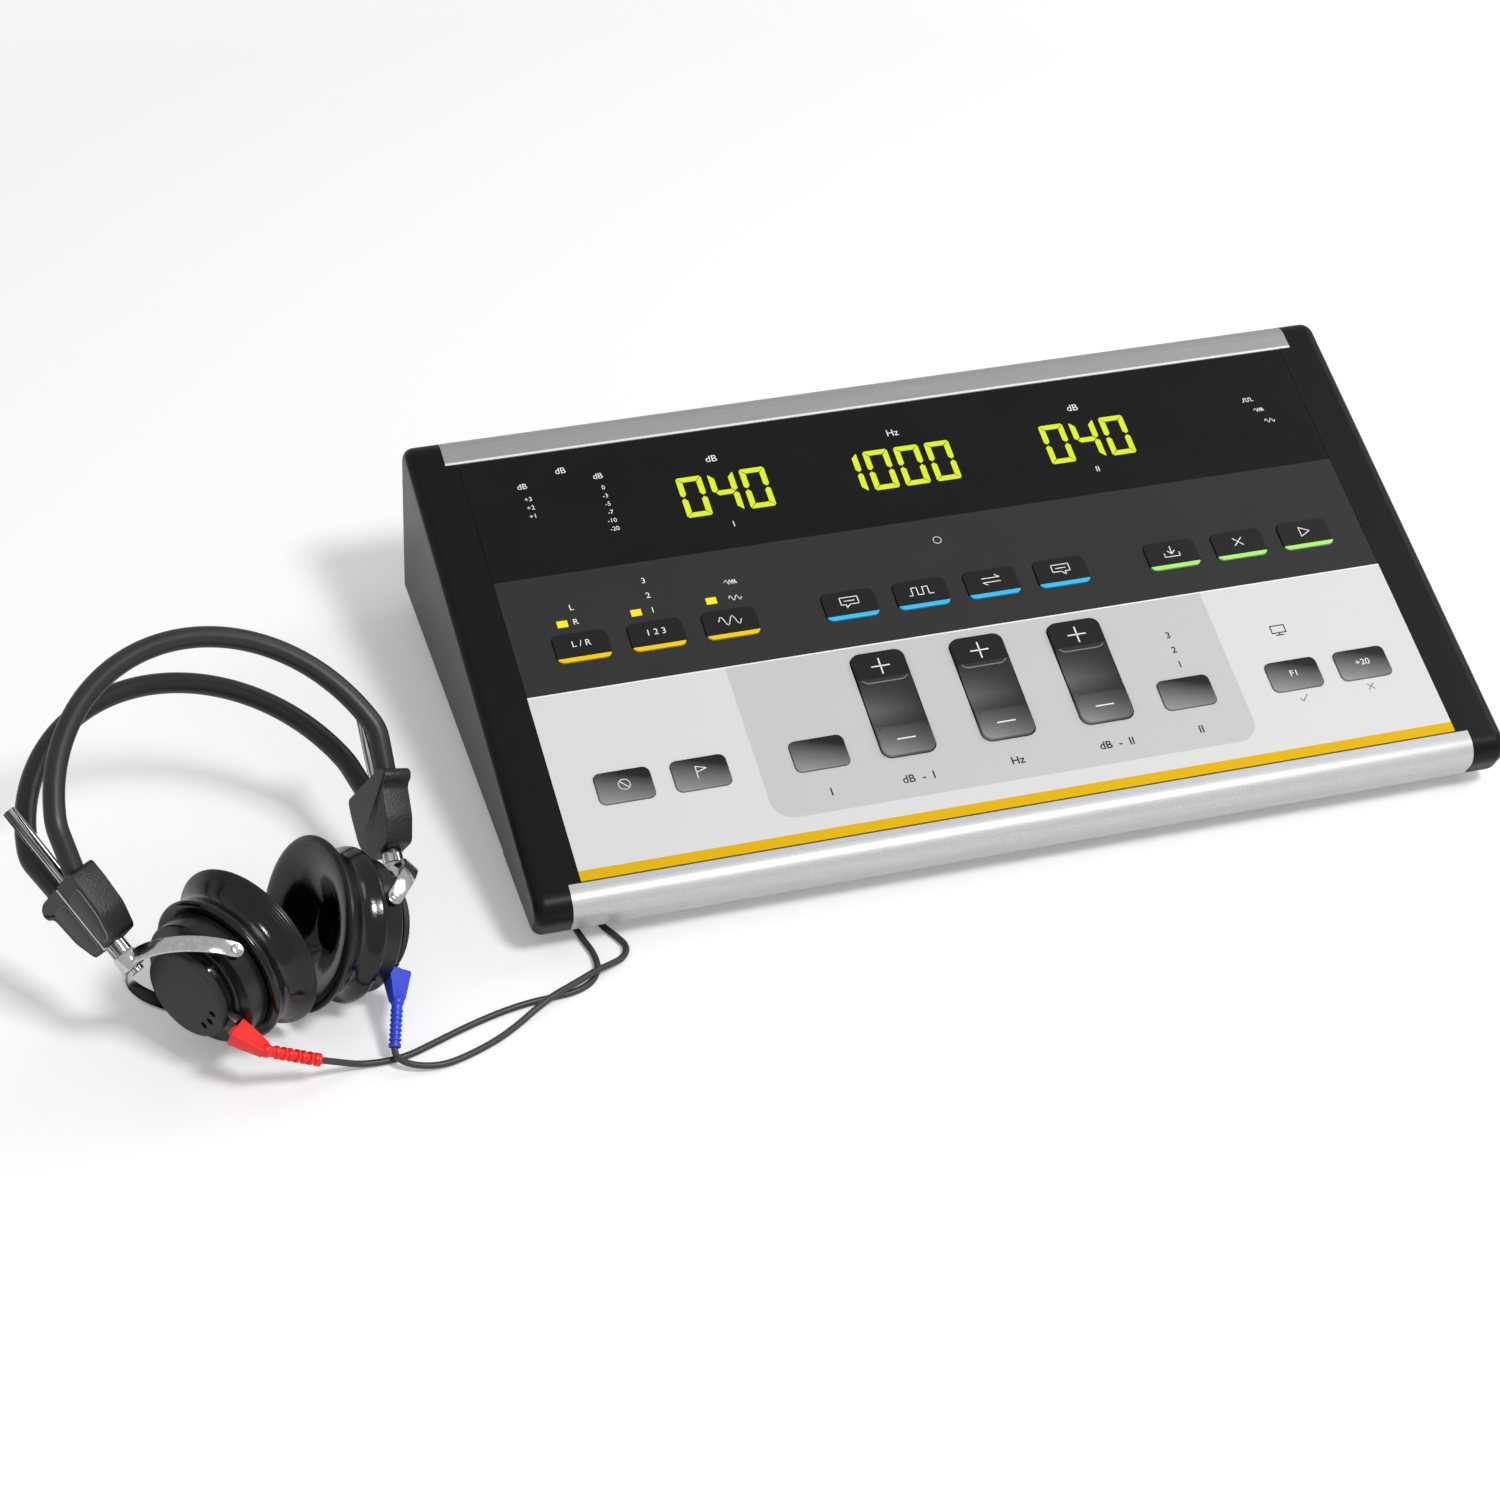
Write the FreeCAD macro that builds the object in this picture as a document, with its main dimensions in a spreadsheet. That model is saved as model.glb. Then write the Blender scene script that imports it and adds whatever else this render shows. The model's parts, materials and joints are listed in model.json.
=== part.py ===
"""Desk audiometer with its headset, as a parametric document (millimetres, +Z up)."""
import FreeCAD, Part
import Sketcher
import math
import os

from FreeCAD import Placement, Rotation, Vector

doc = FreeCAD.newDocument("audiometer")
size = doc.addObject("Spreadsheet::Sheet", "size")

# Driving dimensions: alias, value in millimetres or degrees, meaning.
# u runs across the sloping panel from its middle, v up its slope, w out of it.
DIMENSIONS = (
    # Where the console stands in the frame, and its side profile.
    ("case_x", 94.05, "console's middle, right of the frame's origin"),
    ("case_y", -87.15, "film's front edge, behind the frame's origin"),
    ("foot_height", 8, "rubber foot, floor to base"),
    ("foot_radius", 9, "rubber foot"),
    ("foot_x", 150, "foot centre from the console's middle"),
    ("foot_front", 25, "front feet behind the film's front edge"),
    ("foot_rear", 190, "rear feet behind the film's front edge"),
    ("panel_front", 29.4, "height of the film's front edge"),
    ("panel_tilt", 15, "slope of the panel"),
    ("nose_reach", 13, "nose ahead of the film's front edge"),
    ("nose_slope", 26, "undercut of the face below the nose"),
    ("nose_round", 8.5, "rounding of the nose"),
    ("base_round", 5.5, "rounding of the profile's two lower corners"),
    ("crest_round", 9, "rounding of the profile's rear top corner"),
    ("case_depth", 217, "film's front edge to the rear face"),
    ("wall", 3, "wall of rails and cheeks"),
    ("film_width", 366, "printed film, cheek to cheek"),
    ("film_depth", 205.3, "printed film, up the slope"),
    ("film_thickness", 0.5, "printed film"),
    ("plate_thickness", 2, "metal plate under the film"),
    ("seam", 0.4, "visible seam between neighbouring shells"),
    ("seat_gap", 0.1, "gap between a part and the ledge that it lies on"),
    ("cut_margin", 1, "how far a cutting tool runs past what it cuts"),
    # Cheeks and rails.
    ("cheek_width", 20, "side cheek"),
    ("cheek_face", 3.5, "side wall of a cheek"),
    ("cheek_round", 4.5, "rounding of a cheek's outer edge"),
    ("rail_tongue", 5, "rail's end inside the cheek's notch"),
    ("notch_gap", 0.2, "clearance of a rail's end in its notch"),
    ("rear_rail_drop", 58, "lower edge of the rear rail above the floor"),
    ("undercut_height", 5, "dark undercut along a cheek's lower edge"),
    ("undercut_depth", 2, "undercut into the cheek's face"),
    ("undercut_front", 42, "front end of the undercut"),
    ("ledge_depth", 6, "ledge of a rail under the plate"),
    ("ledge_thickness", 2.9, "ledge of a rail"),
    # Keys.
    ("key_width", 22.4, "key cap"),
    ("upper_key_height", 13.7, "key cap in the dark band"),
    ("lower_key_height", 14.5, "key cap in the light band"),
    ("key_corner", 2.8, "corner of a key cap"),
    ("key_stand", 0.7, "key cap above the film"),
    ("key_edge", 0.35, "rounded top edge of a key or rocker"),
    ("key_gap", 0.25, "gap round a key cap"),
    ("key_flange", 1.5, "flange past the cap on each side"),
    ("flange_thickness", 1.2, "flange of a key"),
    ("flange_gap", 0.2, "flange below the plate"),
    ("stem_radius", 3, "stem of a key"),
    ("stem_length", 0.5, "stem of a key below its flange"),
    ("upper_row", 106.7, "middle of the keys in the dark band"),
    ("lower_row", 39, "middle of the keys in the light band"),
    ("select_start", -155.5, "first key of the left group"),
    ("select_pitch", 30.85, "left group"),
    ("control_start", -43.4, "first key of the middle group"),
    ("control_pitch", 30.5, "middle group"),
    ("memory_start", 97.1, "first key of the right group"),
    ("memory_pitch", 30, "right group"),
    ("reply_start", -155.6, "first of the two lower left keys"),
    ("reply_pitch", 30.8, "two lower left keys"),
    ("present_start", -76.4, "lower key left of the rockers"),
    ("mask_start", 79.4, "lower key right of the rockers"),
    ("option_start", 126.6, "first of the two lower right keys"),
    ("option_pitch", 30.3, "two lower right keys"),
    # Rockers.
    ("rocker_start", -40.5, "first rocker"),
    ("rocker_pitch", 42, "rockers"),
    ("rocker_row", 56.6, "middle of the rockers"),
    ("rocker_width", 22.3, "rocker"),
    ("rocker_height", 49.7, "rocker"),
    ("rocker_corner", 4, "corner of a rocker"),
    ("rocker_stand", 1.6, "rocker above the film"),
    ("rocker_depth", 3.2, "rocker below the film"),
    ("rocker_gap", 0.5, "gap round a rocker"),
    ("rocker_dip", 1.2, "hollow in the middle of a rocker"),
    ("rocker_dip_radius", 60.6, "radius of that hollow"),
    ("rocker_axis", 4.5, "rocker's pin below the film"),
    ("rocker_switch_reach", 19.9, "a rocker's two switches from its middle"),
    ("boss_half", 3, "half the boss that holds the pin"),
    ("boss_bottom", 6.7, "underside of the boss below the film"),
    ("pin_radius", 1, "rocker pin"),
    ("pin_clearance", 0.05, "radial running clearance of a small pin"),
    ("bracket_thickness", 2.4, "bracket at each end of a pin"),
    ("bracket_bottom", 6.5, "underside of a bracket below the film"),
    # Key board, lamps and displays.
    ("board_thickness", 1.6, "circuit boards"),
    ("board_top", 9, "key board's face below the film"),
    ("board_half_width", 165, "half the key board"),
    ("board_start", 12, "key board's lower edge up the slope"),
    ("board_end", 198, "key board's upper edge up the slope"),
    ("pillar_radius", 3, "pillars that carry the key board"),
    ("pillar_x", 160, "pillars from the middle"),
    ("pillar_inset", 5, "outer pillars in from the key board's edges"),
    ("pillar_middle", 75, "middle pillars up the slope"),
    ("switch_side", 6, "dome switch"),
    ("switch_height", 3.1, "body of a dome switch"),
    ("plunger_radius", 1.7, "plunger of a dome switch"),
    ("plunger_top", 5.2, "plunger's top below the film"),
    ("lamp_width", 4.4, "lamp window"),
    ("lamp_height", 3.3, "lamp window"),
    ("lamp_pitch", 7.5, "lamps of one list"),
    ("meter_lamp_pitch", 4.15, "lamps of the level meter"),
    ("meter_lamp_height", 2.4, "lamp window of the level meter"),
    ("lamp_gap", 0.2, "lamp inside its window"),
    ("display_row", 172, "middle of the displays"),
    ("display_height", 28, "display module"),
    ("display_wide", 58, "four-digit module"),
    ("display_narrow", 44, "three-digit module"),
    ("display_lip", 1, "plate over a module's edge"),
    ("display_left_u", -77.7, "left display"),
    ("display_middle_u", -3.4, "middle display"),
    ("display_right_u", 81.9, "right display"),
    # Base, boards and the rear.
    ("pan_thickness", 2.5, "base pan"),
    ("pan_front", 6.5, "base pan's front edge"),
    ("boss_radius", 3.5, "board posts on the pan"),
    ("boss_height", 6, "board posts"),
    ("main_board_width", 240, "main board"),
    ("main_board_depth", 130, "main board"),
    ("main_board_x", -45, "main board's middle"),
    ("main_board_y", 125, "main board's middle"),
    ("post_inset", 6, "posts in from the board's edges"),
    ("screw_radius", 1.5, "board screws"),
    ("screw_head", 2.8, "head radius of a board screw"),
    ("screw_head_height", 2, "head of a board screw"),
    ("chip_height", 2.4, "chips on the main board"),
    ("supply_width", 70, "power supply"),
    ("supply_depth", 105, "power supply"),
    ("supply_height", 27, "power supply"),
    ("supply_x", 132, "power supply's middle"),
    ("supply_y", 125, "power supply's middle"),
    ("ribbon_width", 30, "ribbon cable"),
    ("ribbon_thickness", 0.8, "ribbon cable"),
    ("ribbon_y", 100, "ribbon cable behind the film's front edge"),
    ("ribbon_gap", 0.3, "ribbon cable to the boards"),
    ("rear_panel_thickness", 2, "rear panel"),
    ("rear_panel_inset", 3.3, "rear panel's outer face in from the rear"),
    ("rear_panel_top", 64, "rear panel's upper edge above the floor"),
    ("jack_start", -150, "first rear jack"),
    ("jack_pitch", 22.5, "rear jacks"),
    ("jack_count", 5, "rear jacks"),
    ("jack_z", 45, "rear jacks above the floor"),
    ("jack_bore", 3.225, "bore radius of a 6.35 mm jack"),
    ("jack_depth", 32, "bore depth of a jack"),
    ("jack_neck", 4.5, "threaded neck of a jack"),
    ("jack_nut", 7, "nut of a jack"),
    ("jack_nut_height", 2, "nut of a jack"),
    ("jack_body", 15, "body of a jack, across"),
    ("jack_length", 31, "body of a jack behind the panel"),
    ("hole_gap", 0.1, "panel cut-outs round what they hold"),
    ("inlet_x", 130, "power inlet's middle"),
    ("inlet_z", 37, "power inlet above the floor"),
    ("inlet_width", 46, "body of the power inlet"),
    ("inlet_height", 26, "body of the power inlet"),
    ("inlet_length", 25, "body of the power inlet behind the panel's face"),
    ("bezel_rim", 2, "bezel of the inlet past its body"),
    ("bezel_thickness", 2, "bezel of the inlet"),
    ("socket_width", 22, "recess of the inlet"),
    ("socket_height", 16, "recess of the inlet"),
    ("socket_depth", 16, "recess of the inlet"),
    ("socket_offset", 9, "recess and switch either side of the inlet's middle"),
    ("blade_length", 9, "contact blades in the inlet"),
    ("blade_width", 4, "contact blades in the inlet"),
    ("blade_thickness", 2, "contact blades in the inlet"),
    ("blade_pitch", 7, "outer contact blades from the middle one"),
    ("blade_stagger", 2, "outer blades above, middle one below, the recess's middle"),
    ("switch_width", 12.4, "power rocker"),
    ("switch_tall", 17, "power rocker"),
    ("switch_radius", 9.2, "rounded back of the power rocker"),
    ("switch_gap", 0.3, "power rocker in its opening"),
    ("switch_proud", 4, "power rocker ahead of its hinge line"),
    # Headset: its frame stands with x from left ear to right, z to the crown.
    ("head_x", -302, "headset frame, from the console's middle"),
    ("head_y", 1.4, "headset frame, behind the film's front edge"),
    ("head_z", 35.4, "headset frame above the floor"),
    ("head_yaw", 22, "headset lying on its cushions"),
    ("head_pitch", 9.75, "headset lying on its cushions"),
    ("head_roll", -59, "headset lying on its cushions"),
    ("band_radius", 72, "arch of a headband"),
    ("band_half_angle", 73.4, "half the arch"),
    ("band_tube", 4.05, "radius of a headband's tube"),
    ("crown", 108.6, "arch's top above the headset frame"),
    ("band_spread", 20.1, "each headband from the middle at the crown"),
    ("band_splay", 5.5, "headbands lean apart towards the crown"),
    ("kink_run", 3.5, "straight part of the bend below the arch"),
    ("leg_spread", 9.1, "each leg from the middle where it enters the clamp"),
    ("leg_depth", 5, "leg inside the clamp"),
    ("half_gap", 60.1, "rod from the middle, at the frame's foot"),
    ("rod_foot", 7.6, "rod's foot above the headset frame"),
    ("rod_lean", 15.2, "rods lean in towards the ears"),
    ("clamp_bottom", 3, "clamp above the rod's foot"),
    ("clamp_top", 31, "clamp above the rod's foot"),
    ("clamp_half", 15.5, "half the clamp at its top"),
    ("clamp_foot_half", 9.5, "half the clamp at its bottom"),
    ("clamp_waist", 9, "height over which the clamp widens most"),
    ("clamp_taper", 1.5, "slight taper of a clamp's sides and tab"),
    ("clamp_outer", 5, "clamp outward of the rod"),
    ("clamp_inner", 7, "clamp inward of the rod"),
    ("tab_reach", 4.5, "thumb tab beside the clamp"),
    ("tab_drop", 6, "thumb tab's height"),
    ("rod_radius", 2.5, "sliding rod"),
    ("rod_top", 64, "sliding rod's top"),
    ("rod_clearance", 0.05, "radial running clearance of the rod"),
    ("groove_width", 1, "groove along the rod"),
    ("groove_depth", 0.6, "groove along the rod"),
    ("slot_width", 1.6, "slot that shows the rod in the clamp's face"),
    ("collar_radius", 4, "collar at the rod's foot"),
    ("collar_top", 2.7, "collar's top"),
    ("collar_bottom", -2, "collar's underside"),
    ("swivel_radius", 1.5, "swivel pin below the collar"),
    ("swivel_head", 2.8, "rivet head of the swivel pin"),
    ("swivel_head_height", 1.5, "rivet head of the swivel pin"),
    ("swivel_gap", 0.3, "hub between the collar and the rivet head"),
    ("hub_height", 6.4, "hub of the yoke"),
    ("hub_radius", 4.5, "hub of the yoke"),
    ("yoke_radius", 26.9, "mean radius of the yoke's bow"),
    ("strip_width", 6, "yoke's strip"),
    ("strip_thickness", 1.4, "yoke's strip"),
    ("strip_tail", 3, "strip past the pivot"),
    ("pivot_x", 20.8, "ear pivot inward of the rod"),
    ("pivot_drop", 27.1, "ear pivot below the rod's foot"),
    ("left_swivel", 1.5, "left yoke turned on its rod as it lies"),
    ("right_swivel", 6, "right yoke turned on its rod as it lies"),
    ("left_tilt", 2, "left earphone tilted in its yoke as it lies"),
    ("right_tilt", 1, "right earphone tilted in its yoke as it lies"),
    # Earphones, from the pivot along the ear axis.
    ("case_back", 8.5, "earphone case behind the pivot"),
    ("case_front", 5.5, "earphone case ahead of the pivot"),
    ("case_neck", 16.5, "rear body"),
    ("case_shoulder", 20, "shoulder"),
    ("case_flange", 25, "flange that the screws enter"),
    ("neck_length", 3, "rear body"),
    ("shoulder_back", 5, "shoulder behind the pivot"),
    ("flange_back", 3.7, "flange behind the pivot"),
    ("flange_chamfer", 0.3, "chamfer at the back of the flange"),
    ("cap_radius", 18, "rear cap"),
    ("cap_height", 3, "rear cap"),
    ("cap_bevel", 0.7, "edge of the rear cap"),
    ("screw_reach", 6, "pivot screw inside the case"),
    ("pivot_head", 2.6, "head of a pivot screw"),
    ("pivot_head_height", 0.9, "head of a pivot screw"),
    ("pivot_screw", 1.5, "shank of a pivot screw"),
    ("cushion_collar", 28.5, "cushion's collar"),
    ("cushion_waist", 27, "cushion's waist"),
    ("cushion_radius", 33, "cushion's widest ring"),
    ("cushion_height", 19, "cushion, back to face"),
    ("cushion_hole", 9, "cushion's sound hole"),
    ("cushion_mouth", 21, "recess at the cushion's face"),
    ("cushion_crest", 25, "highest ring of the cushion's face"),
    ("collar_length", 7.5, "cushion's collar, and the floor of its recess"),
    ("waist_start", 8.5, "cushion's waist ahead of the case"),
    ("waist_end", 9.5, "cushion's waist ahead of the case"),
    ("lip_start", 11, "cushion's widest ring ahead of the case"),
    ("lip_end", 3.5, "cushion's widest ring behind its face"),
    ("lip_corner", 1, "rounded corner of the cushion's lip, back from the face"),
    ("lip_bevel", 2.5, "rounded corner of the cushion's lip, in from the widest ring"),
    ("mouth_depth", 0.7, "rim of the recess behind the cushion's face"),
    ("outlet_width", 7, "cord outlet along the ear axis"),
    ("outlet_breadth", 8, "cord outlet across"),
    ("outlet_reach", 21, "cord outlet from the ear axis"),
    ("outlet_x", 5, "cord outlet behind the pivot"),
    # Cord boots: a flat tapered grip, then a thinner sleeve at an angle to it.
    ("boot_x", 8.5, "boots behind the pivot"),
    ("grip_width", 8.4, "grip at the outlet, along the ear axis"),
    ("grip_breadth", 7, "grip at the outlet, across"),
    ("grip_neck", 2.6, "ball where the sleeve starts"),
    ("grip_length", 13.5, "grip"),
    ("stub_radius", 2.2, "stub between outlet and grip"),
    ("sleeve_radius", 2.4, "boot's sleeve"),
    ("red_outlet_turn", 167, "red cord's outlet round the ear axis"),
    ("red_grip_lift", 0.9, "red grip off its outlet"),
    ("red_grip_lean", 12, "red grip, leaned along the ear axis"),
    ("red_sleeve_turn", 17.8, "red sleeve, turned about the ear axis"),
    ("red_sleeve_lean", 35.6, "red sleeve, leaned along the ear axis"),
    ("red_sleeve_length", 22.1, "red sleeve"),
    ("blue_outlet_turn", 194, "blue cord's outlet round the ear axis"),
    ("blue_grip_lift", 1.3, "blue grip off its outlet"),
    ("blue_grip_lean", 18, "blue grip, leaned along the ear axis"),
    ("blue_sleeve_turn", -43.1, "blue sleeve, turned about the ear axis"),
    ("blue_sleeve_lean", 10.9, "blue sleeve, leaned along the ear axis"),
    ("blue_sleeve_length", 17.5, "blue sleeve"),
    # Cords, coils and plugs behind the console.
    ("cord_radius", 1.3, "cords"),
    ("coil_outer", 18, "coil of spare cord"),
    ("coil_inner", 10, "coil of spare cord"),
    ("coil_height", 13, "coil of spare cord"),
    ("coil_y", 262, "coils behind the film's front edge"),
    ("red_coil_x", -136, "red cord's coil"),
    ("blue_coil_x", -91, "blue cord's coil"),
    ("plug_shaft", 3.175, "6.35 mm plug"),
    ("plug_shaft_length", 29, "6.35 mm plug"),
    ("plug_width", 12, "right-angled plug body"),
    ("plug_thickness", 12, "right-angled plug body"),
    ("plug_above", 6, "plug body above its shaft"),
    ("plug_below", 22, "plug body below its shaft"),
    ("plug_gap", 0.3, "plug body to the jack's nut"),
)
for row, (alias, number, meaning) in enumerate(DIMENSIONS, start=1):
    size.set(f"A{row}", meaning)
    size.set(f"B{row}", str(number))
    size.setAlias(f"B{row}", alias)
doc.recompute()

sub_parts = []


def value(expression):
    """The number that an expression on the sheet gives."""
    return float(doc.getObject("size").evalExpression(str(expression)))


def step(x="0", y="0", z="0"):
    """Placement text for a shift."""
    return f"placement(vector({x}; {y}; {z}); rotation(vector(0; 0; 1); 0))"


def turn(axis, angle):
    """Placement text for a turn about a coordinate axis, such as "1; 0; 0"."""
    return f"placement(vector(0; 0; 0); rotation(vector({axis}); {angle}))"


def chain(*places):
    """Placement text for one place inside another."""
    return " * ".join(places)


ABOUT_X, ABOUT_Y, ABOUT_Z = "1; 0; 0", "0; 1; 0", "0; 0; 1"
CASE = step("size.case_x", "size.case_y")
PANEL = chain(CASE, step(z="size.panel_front"), turn(ABOUT_X, "size.panel_tilt"))
HEAD = chain(CASE, step("size.head_x", "size.head_y", "size.head_z"),
             turn(ABOUT_Z, "size.head_yaw"), turn(ABOUT_Y, "size.head_pitch"),
             turn(ABOUT_X, "size.head_roll"))
ROD = chain(step("-size.half_gap", "0", "size.rod_foot"), turn(ABOUT_Y, "-size.rod_lean"))
SIDES = {
    "left": chain(HEAD, ROD),
    "right": chain(HEAD, turn(ABOUT_Z, "180"), ROD),
}


def sub_part(name, feature):
    """Marks a feature as a piece of the audiometer under its own name."""
    feature.Label = name
    sub_parts.append(feature)
    return feature


def primitive(kind, name, place, **sizes):
    """A Part primitive whose sizes and place are expressions on the sheet."""
    piece = doc.addObject("Part::" + kind, name)
    for property_name, expression in sizes.items():
        piece.setExpression(property_name, str(expression))
    piece.setExpression("Placement", place)
    return piece


def block(name, frame, centre, extent):
    """A box centred on a point in x and y and standing on it in z."""
    x, y, z = centre
    length, width, height = extent
    corner = step(f"{x} - ({length}) / 2", f"{y} - ({width}) / 2", z)
    return primitive("Box", name, chain(frame, corner), Length=length, Width=width, Height=height)


def post(name, frame, foot, radius, height):
    """A cylinder along the frame's z axis, standing on a point."""
    return primitive("Cylinder", name, chain(frame, step(*foot)), Radius=radius, Height=height)


def fuse(name, pieces):
    """Several shapes as one solid."""
    feature = doc.addObject("Part::MultiFuse", name)
    feature.Shapes = pieces
    return feature


def cut(name, base, tools):
    """A shape less one tool or several."""
    feature = doc.addObject("Part::Cut", name)
    feature.Base = base
    feature.Tool = tools[0] if len(tools) == 1 else fuse(name + "_tools", tools)
    return feature


def common(name, base, tool):
    """What two shapes share."""
    feature = doc.addObject("Part::Common", name)
    feature.Base = base
    feature.Tool = tool
    return feature


def together(name, pieces):
    """Separate solids in one piece's file."""
    feature = doc.addObject("Part::Compound", name)
    feature.Links = pieces
    return feature


def new_body(name, place):
    body = doc.addObject("PartDesign::Body", name)
    body.setExpression("Placement", place)
    return body


def new_sketch(body, name, plane, x="0", y="0", z="0"):
    """A sketch on one of its body's origin planes, shifted in that plane's own axes."""
    sketch = body.newObject("Sketcher::SketchObject", name)
    support = next(item for item in body.Origin.OriginFeatures if item.Role == plane)
    sketch.AttachmentSupport = [(support, "")]
    sketch.MapMode = "FlatFace"
    sketch.setExpression("AttachmentOffset", step(x, y, z))
    return sketch


def constrain(sketch, kind, *places, expression=None):
    """A constraint, tied to an expression where it has a size."""
    if expression is None:
        sketch.addConstraint(Sketcher.Constraint(kind, *places))
        return
    index = sketch.addConstraint(Sketcher.Constraint(kind, *places, value(expression)))
    sketch.setExpression(f"Constraints[{index}]", expression)


def rounded_rectangle(sketch, width, height, radius):
    """Four lines and four corner arcs centred on the sketch's origin."""
    right, top, bend = value(width) / 2, value(height) / 2, value(radius)
    corners = ((right, -top), (right, top), (-right, top), (-right, -top))
    inward = ((-1, 1), (-1, -1), (1, -1), (1, 1))
    middles = [Vector(x + dx * bend, y + dy * bend, 0)
               for (x, y), (dx, dy) in zip(corners, inward)]
    arcs = []
    for number, middle in enumerate(middles):
        start = math.radians(-90 + 90 * number)
        circle = Part.Circle(middle, Vector(0, 0, 1), bend)
        arcs.append(Part.ArcOfCircle(circle, start, start + math.pi / 2))
    for number in range(4):
        line = Part.LineSegment(arcs[number - 1].EndPoint, arcs[number].StartPoint)
        sketch.addGeometry(line)
    for arc in arcs:
        sketch.addGeometry(arc)
    for number in range(4):
        constrain(sketch, "Tangent", number, 2, 4 + number, 1)
        constrain(sketch, "Tangent", 4 + number, 2, (number + 1) % 4, 1)
        constrain(sketch, "Vertical" if number % 2 else "Horizontal", number)
    for number in (5, 6, 7):
        constrain(sketch, "Equal", 4, number)
    constrain(sketch, "Radius", 4, expression=radius)
    constrain(sketch, "DistanceX", 3, 1, 1, 1, expression=width)
    constrain(sketch, "DistanceY", 0, 1, 2, 1, expression=height)
    constrain(sketch, "Symmetric", 0, 1, 2, 1, -1, 1)


def polygon(sketch, corners):
    """A closed outline whose corners are pairs of expressions."""
    spots = [Vector(value(x), value(y), 0) for x, y in corners]
    for number, spot in enumerate(spots):
        sketch.addGeometry(Part.LineSegment(spot, spots[(number + 1) % len(spots)]))
    for number, (corner, spot) in enumerate(zip(corners, spots)):
        constrain(sketch, "Coincident", number, 2, (number + 1) % len(spots), 1)
        for kind, axis, expression, distance in (("DistanceX", -2, corner[0], spot.x),
                                                 ("DistanceY", -1, corner[1], spot.y)):
            if abs(distance) < 1e-9:
                constrain(sketch, "PointOnObject", number, 1, axis)
            elif distance > 0:
                constrain(sketch, kind, -1, 1, number, 1, expression=expression)
            else:
                constrain(sketch, kind, number, 1, -1, 1, expression=f"-({expression})")


def pad(body, sketch, length, midplane=False):
    """A sketch pushed out along its normal."""
    feature = body.newObject("PartDesign::Pad", sketch.Name + "_pad")
    feature.Profile = sketch
    feature.Midplane = midplane
    feature.setExpression("Length", str(length))
    sketch.Visibility = False
    return feature


def pocket(body, sketch):
    """A sketch cut right through what lies below it."""
    feature = body.newObject("PartDesign::Pocket", sketch.Name + "_pocket")
    feature.Profile = sketch
    feature.Type = "ThroughAll"
    return feature


def revolve(body, sketch):
    """A sketch turned about its own horizontal axis."""
    feature = body.newObject("PartDesign::Revolution", sketch.Name + "_turned")
    feature.Profile = sketch
    feature.ReferenceAxis = (sketch, ["H_Axis"])
    feature.Angle = 360
    return feature


def repeat(body, feature, sketch, axis, pitch, count):
    """A feature repeated at a pitch along one axis of its sketch."""
    pattern = body.newObject("PartDesign::LinearPattern", feature.Name + "_row")
    pattern.Originals = [feature]
    pattern.Direction = (sketch, [axis])
    pattern.setExpression("Length", f"({pitch}) * {count - 1}")
    pattern.Occurrences = count
    body.Tip = pattern
    return pattern


def round_edges(body, base, name, radius, wanted):
    """Rounds the edges of a feature that a test picks."""
    doc.recompute()
    names = [f"Edge{number}" for number, edge in enumerate(base.Shape.Edges, start=1)
             if wanted(edge)]
    feature = body.newObject("PartDesign::Fillet", name)
    feature.Base = (base, names)
    feature.setExpression("Radius", str(radius))
    return feature


# Console profile: the section that rails, cheeks and hollow share, from its lower
# front corner round the nose and the rear crest to its lower rear corner.
def profile(inset):
    """Corners (y, z) of the side profile, moved inward by an expression."""
    tilt, slope = "tan(size.panel_tilt)", "tan(size.nose_slope)"
    drop = f"({inset}) / cos(size.panel_tilt)"
    shift = f"({inset}) / cos(size.nose_slope)"
    nose_z = f"(size.panel_front - size.nose_reach * {tilt})"
    base_z = f"(size.foot_height + {inset})"
    nose_y = (f"((-size.nose_reach + ({nose_z} - size.panel_front + {drop}) * {slope} + {shift})"
              f" / (1 + {tilt} * {slope}))")
    rear_y = f"(size.case_depth - {inset})"
    return (
        (f"-size.nose_reach + ({nose_z} - {base_z}) * {slope} + {shift}", base_z),
        (nose_y, f"size.panel_front + {nose_y} * {tilt} - {drop}"),
        (rear_y, f"size.panel_front + {rear_y} * {tilt} - {drop}"),
        (rear_y, base_z),
    )


def case_prism(name, inset, start, length):
    """The console's profile as a solid bar between two places across it."""
    body = new_body(name, chain(CASE, step(x=start)))
    corners = profile(inset)
    sketch = new_sketch(body, name + "_profile", "YZ_Plane")
    polygon(sketch, corners)
    feature = pad(body, sketch, length)
    rounds = ("size.base_round", "size.nose_round", "size.crest_round", "size.base_round")
    for number, ((y, z), radius) in enumerate(zip(corners, rounds)):
        line = Vector(0, value(y), value(z))

        def at_corner(edge, line=line):
            return all(math.hypot(spot.Point.y - line.y, spot.Point.z - line.z) < 1e-4
                       for spot in edge.Vertexes)

        feature = round_edges(body, feature, f"{name}_round_{number}",
                              f"{radius} - ({inset})", at_corner)
    return body


HALF = "size.film_width / 2"
RAIL_HALF = f"({HALF} + size.rail_tongue)"
FAR = "size.case_depth"
BELOW, ACROSS = "-size.case_depth / 2", "(2 * size.film_width)"

# Rails: silver extrusions over the front and rear edges, each with a ledge under
# the plate. Both are cut from one hollow bar of the console's profile.
rail_shell = cut("rail_shell",
                 case_prism("rail_outside", "0", f"-{RAIL_HALF}", f"2 * {RAIL_HALF}"),
                 [case_prism("rail_inside", "size.wall", f"-{RAIL_HALF} - size.cut_margin",
                             f"2 * ({RAIL_HALF} + size.cut_margin)")])


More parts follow.
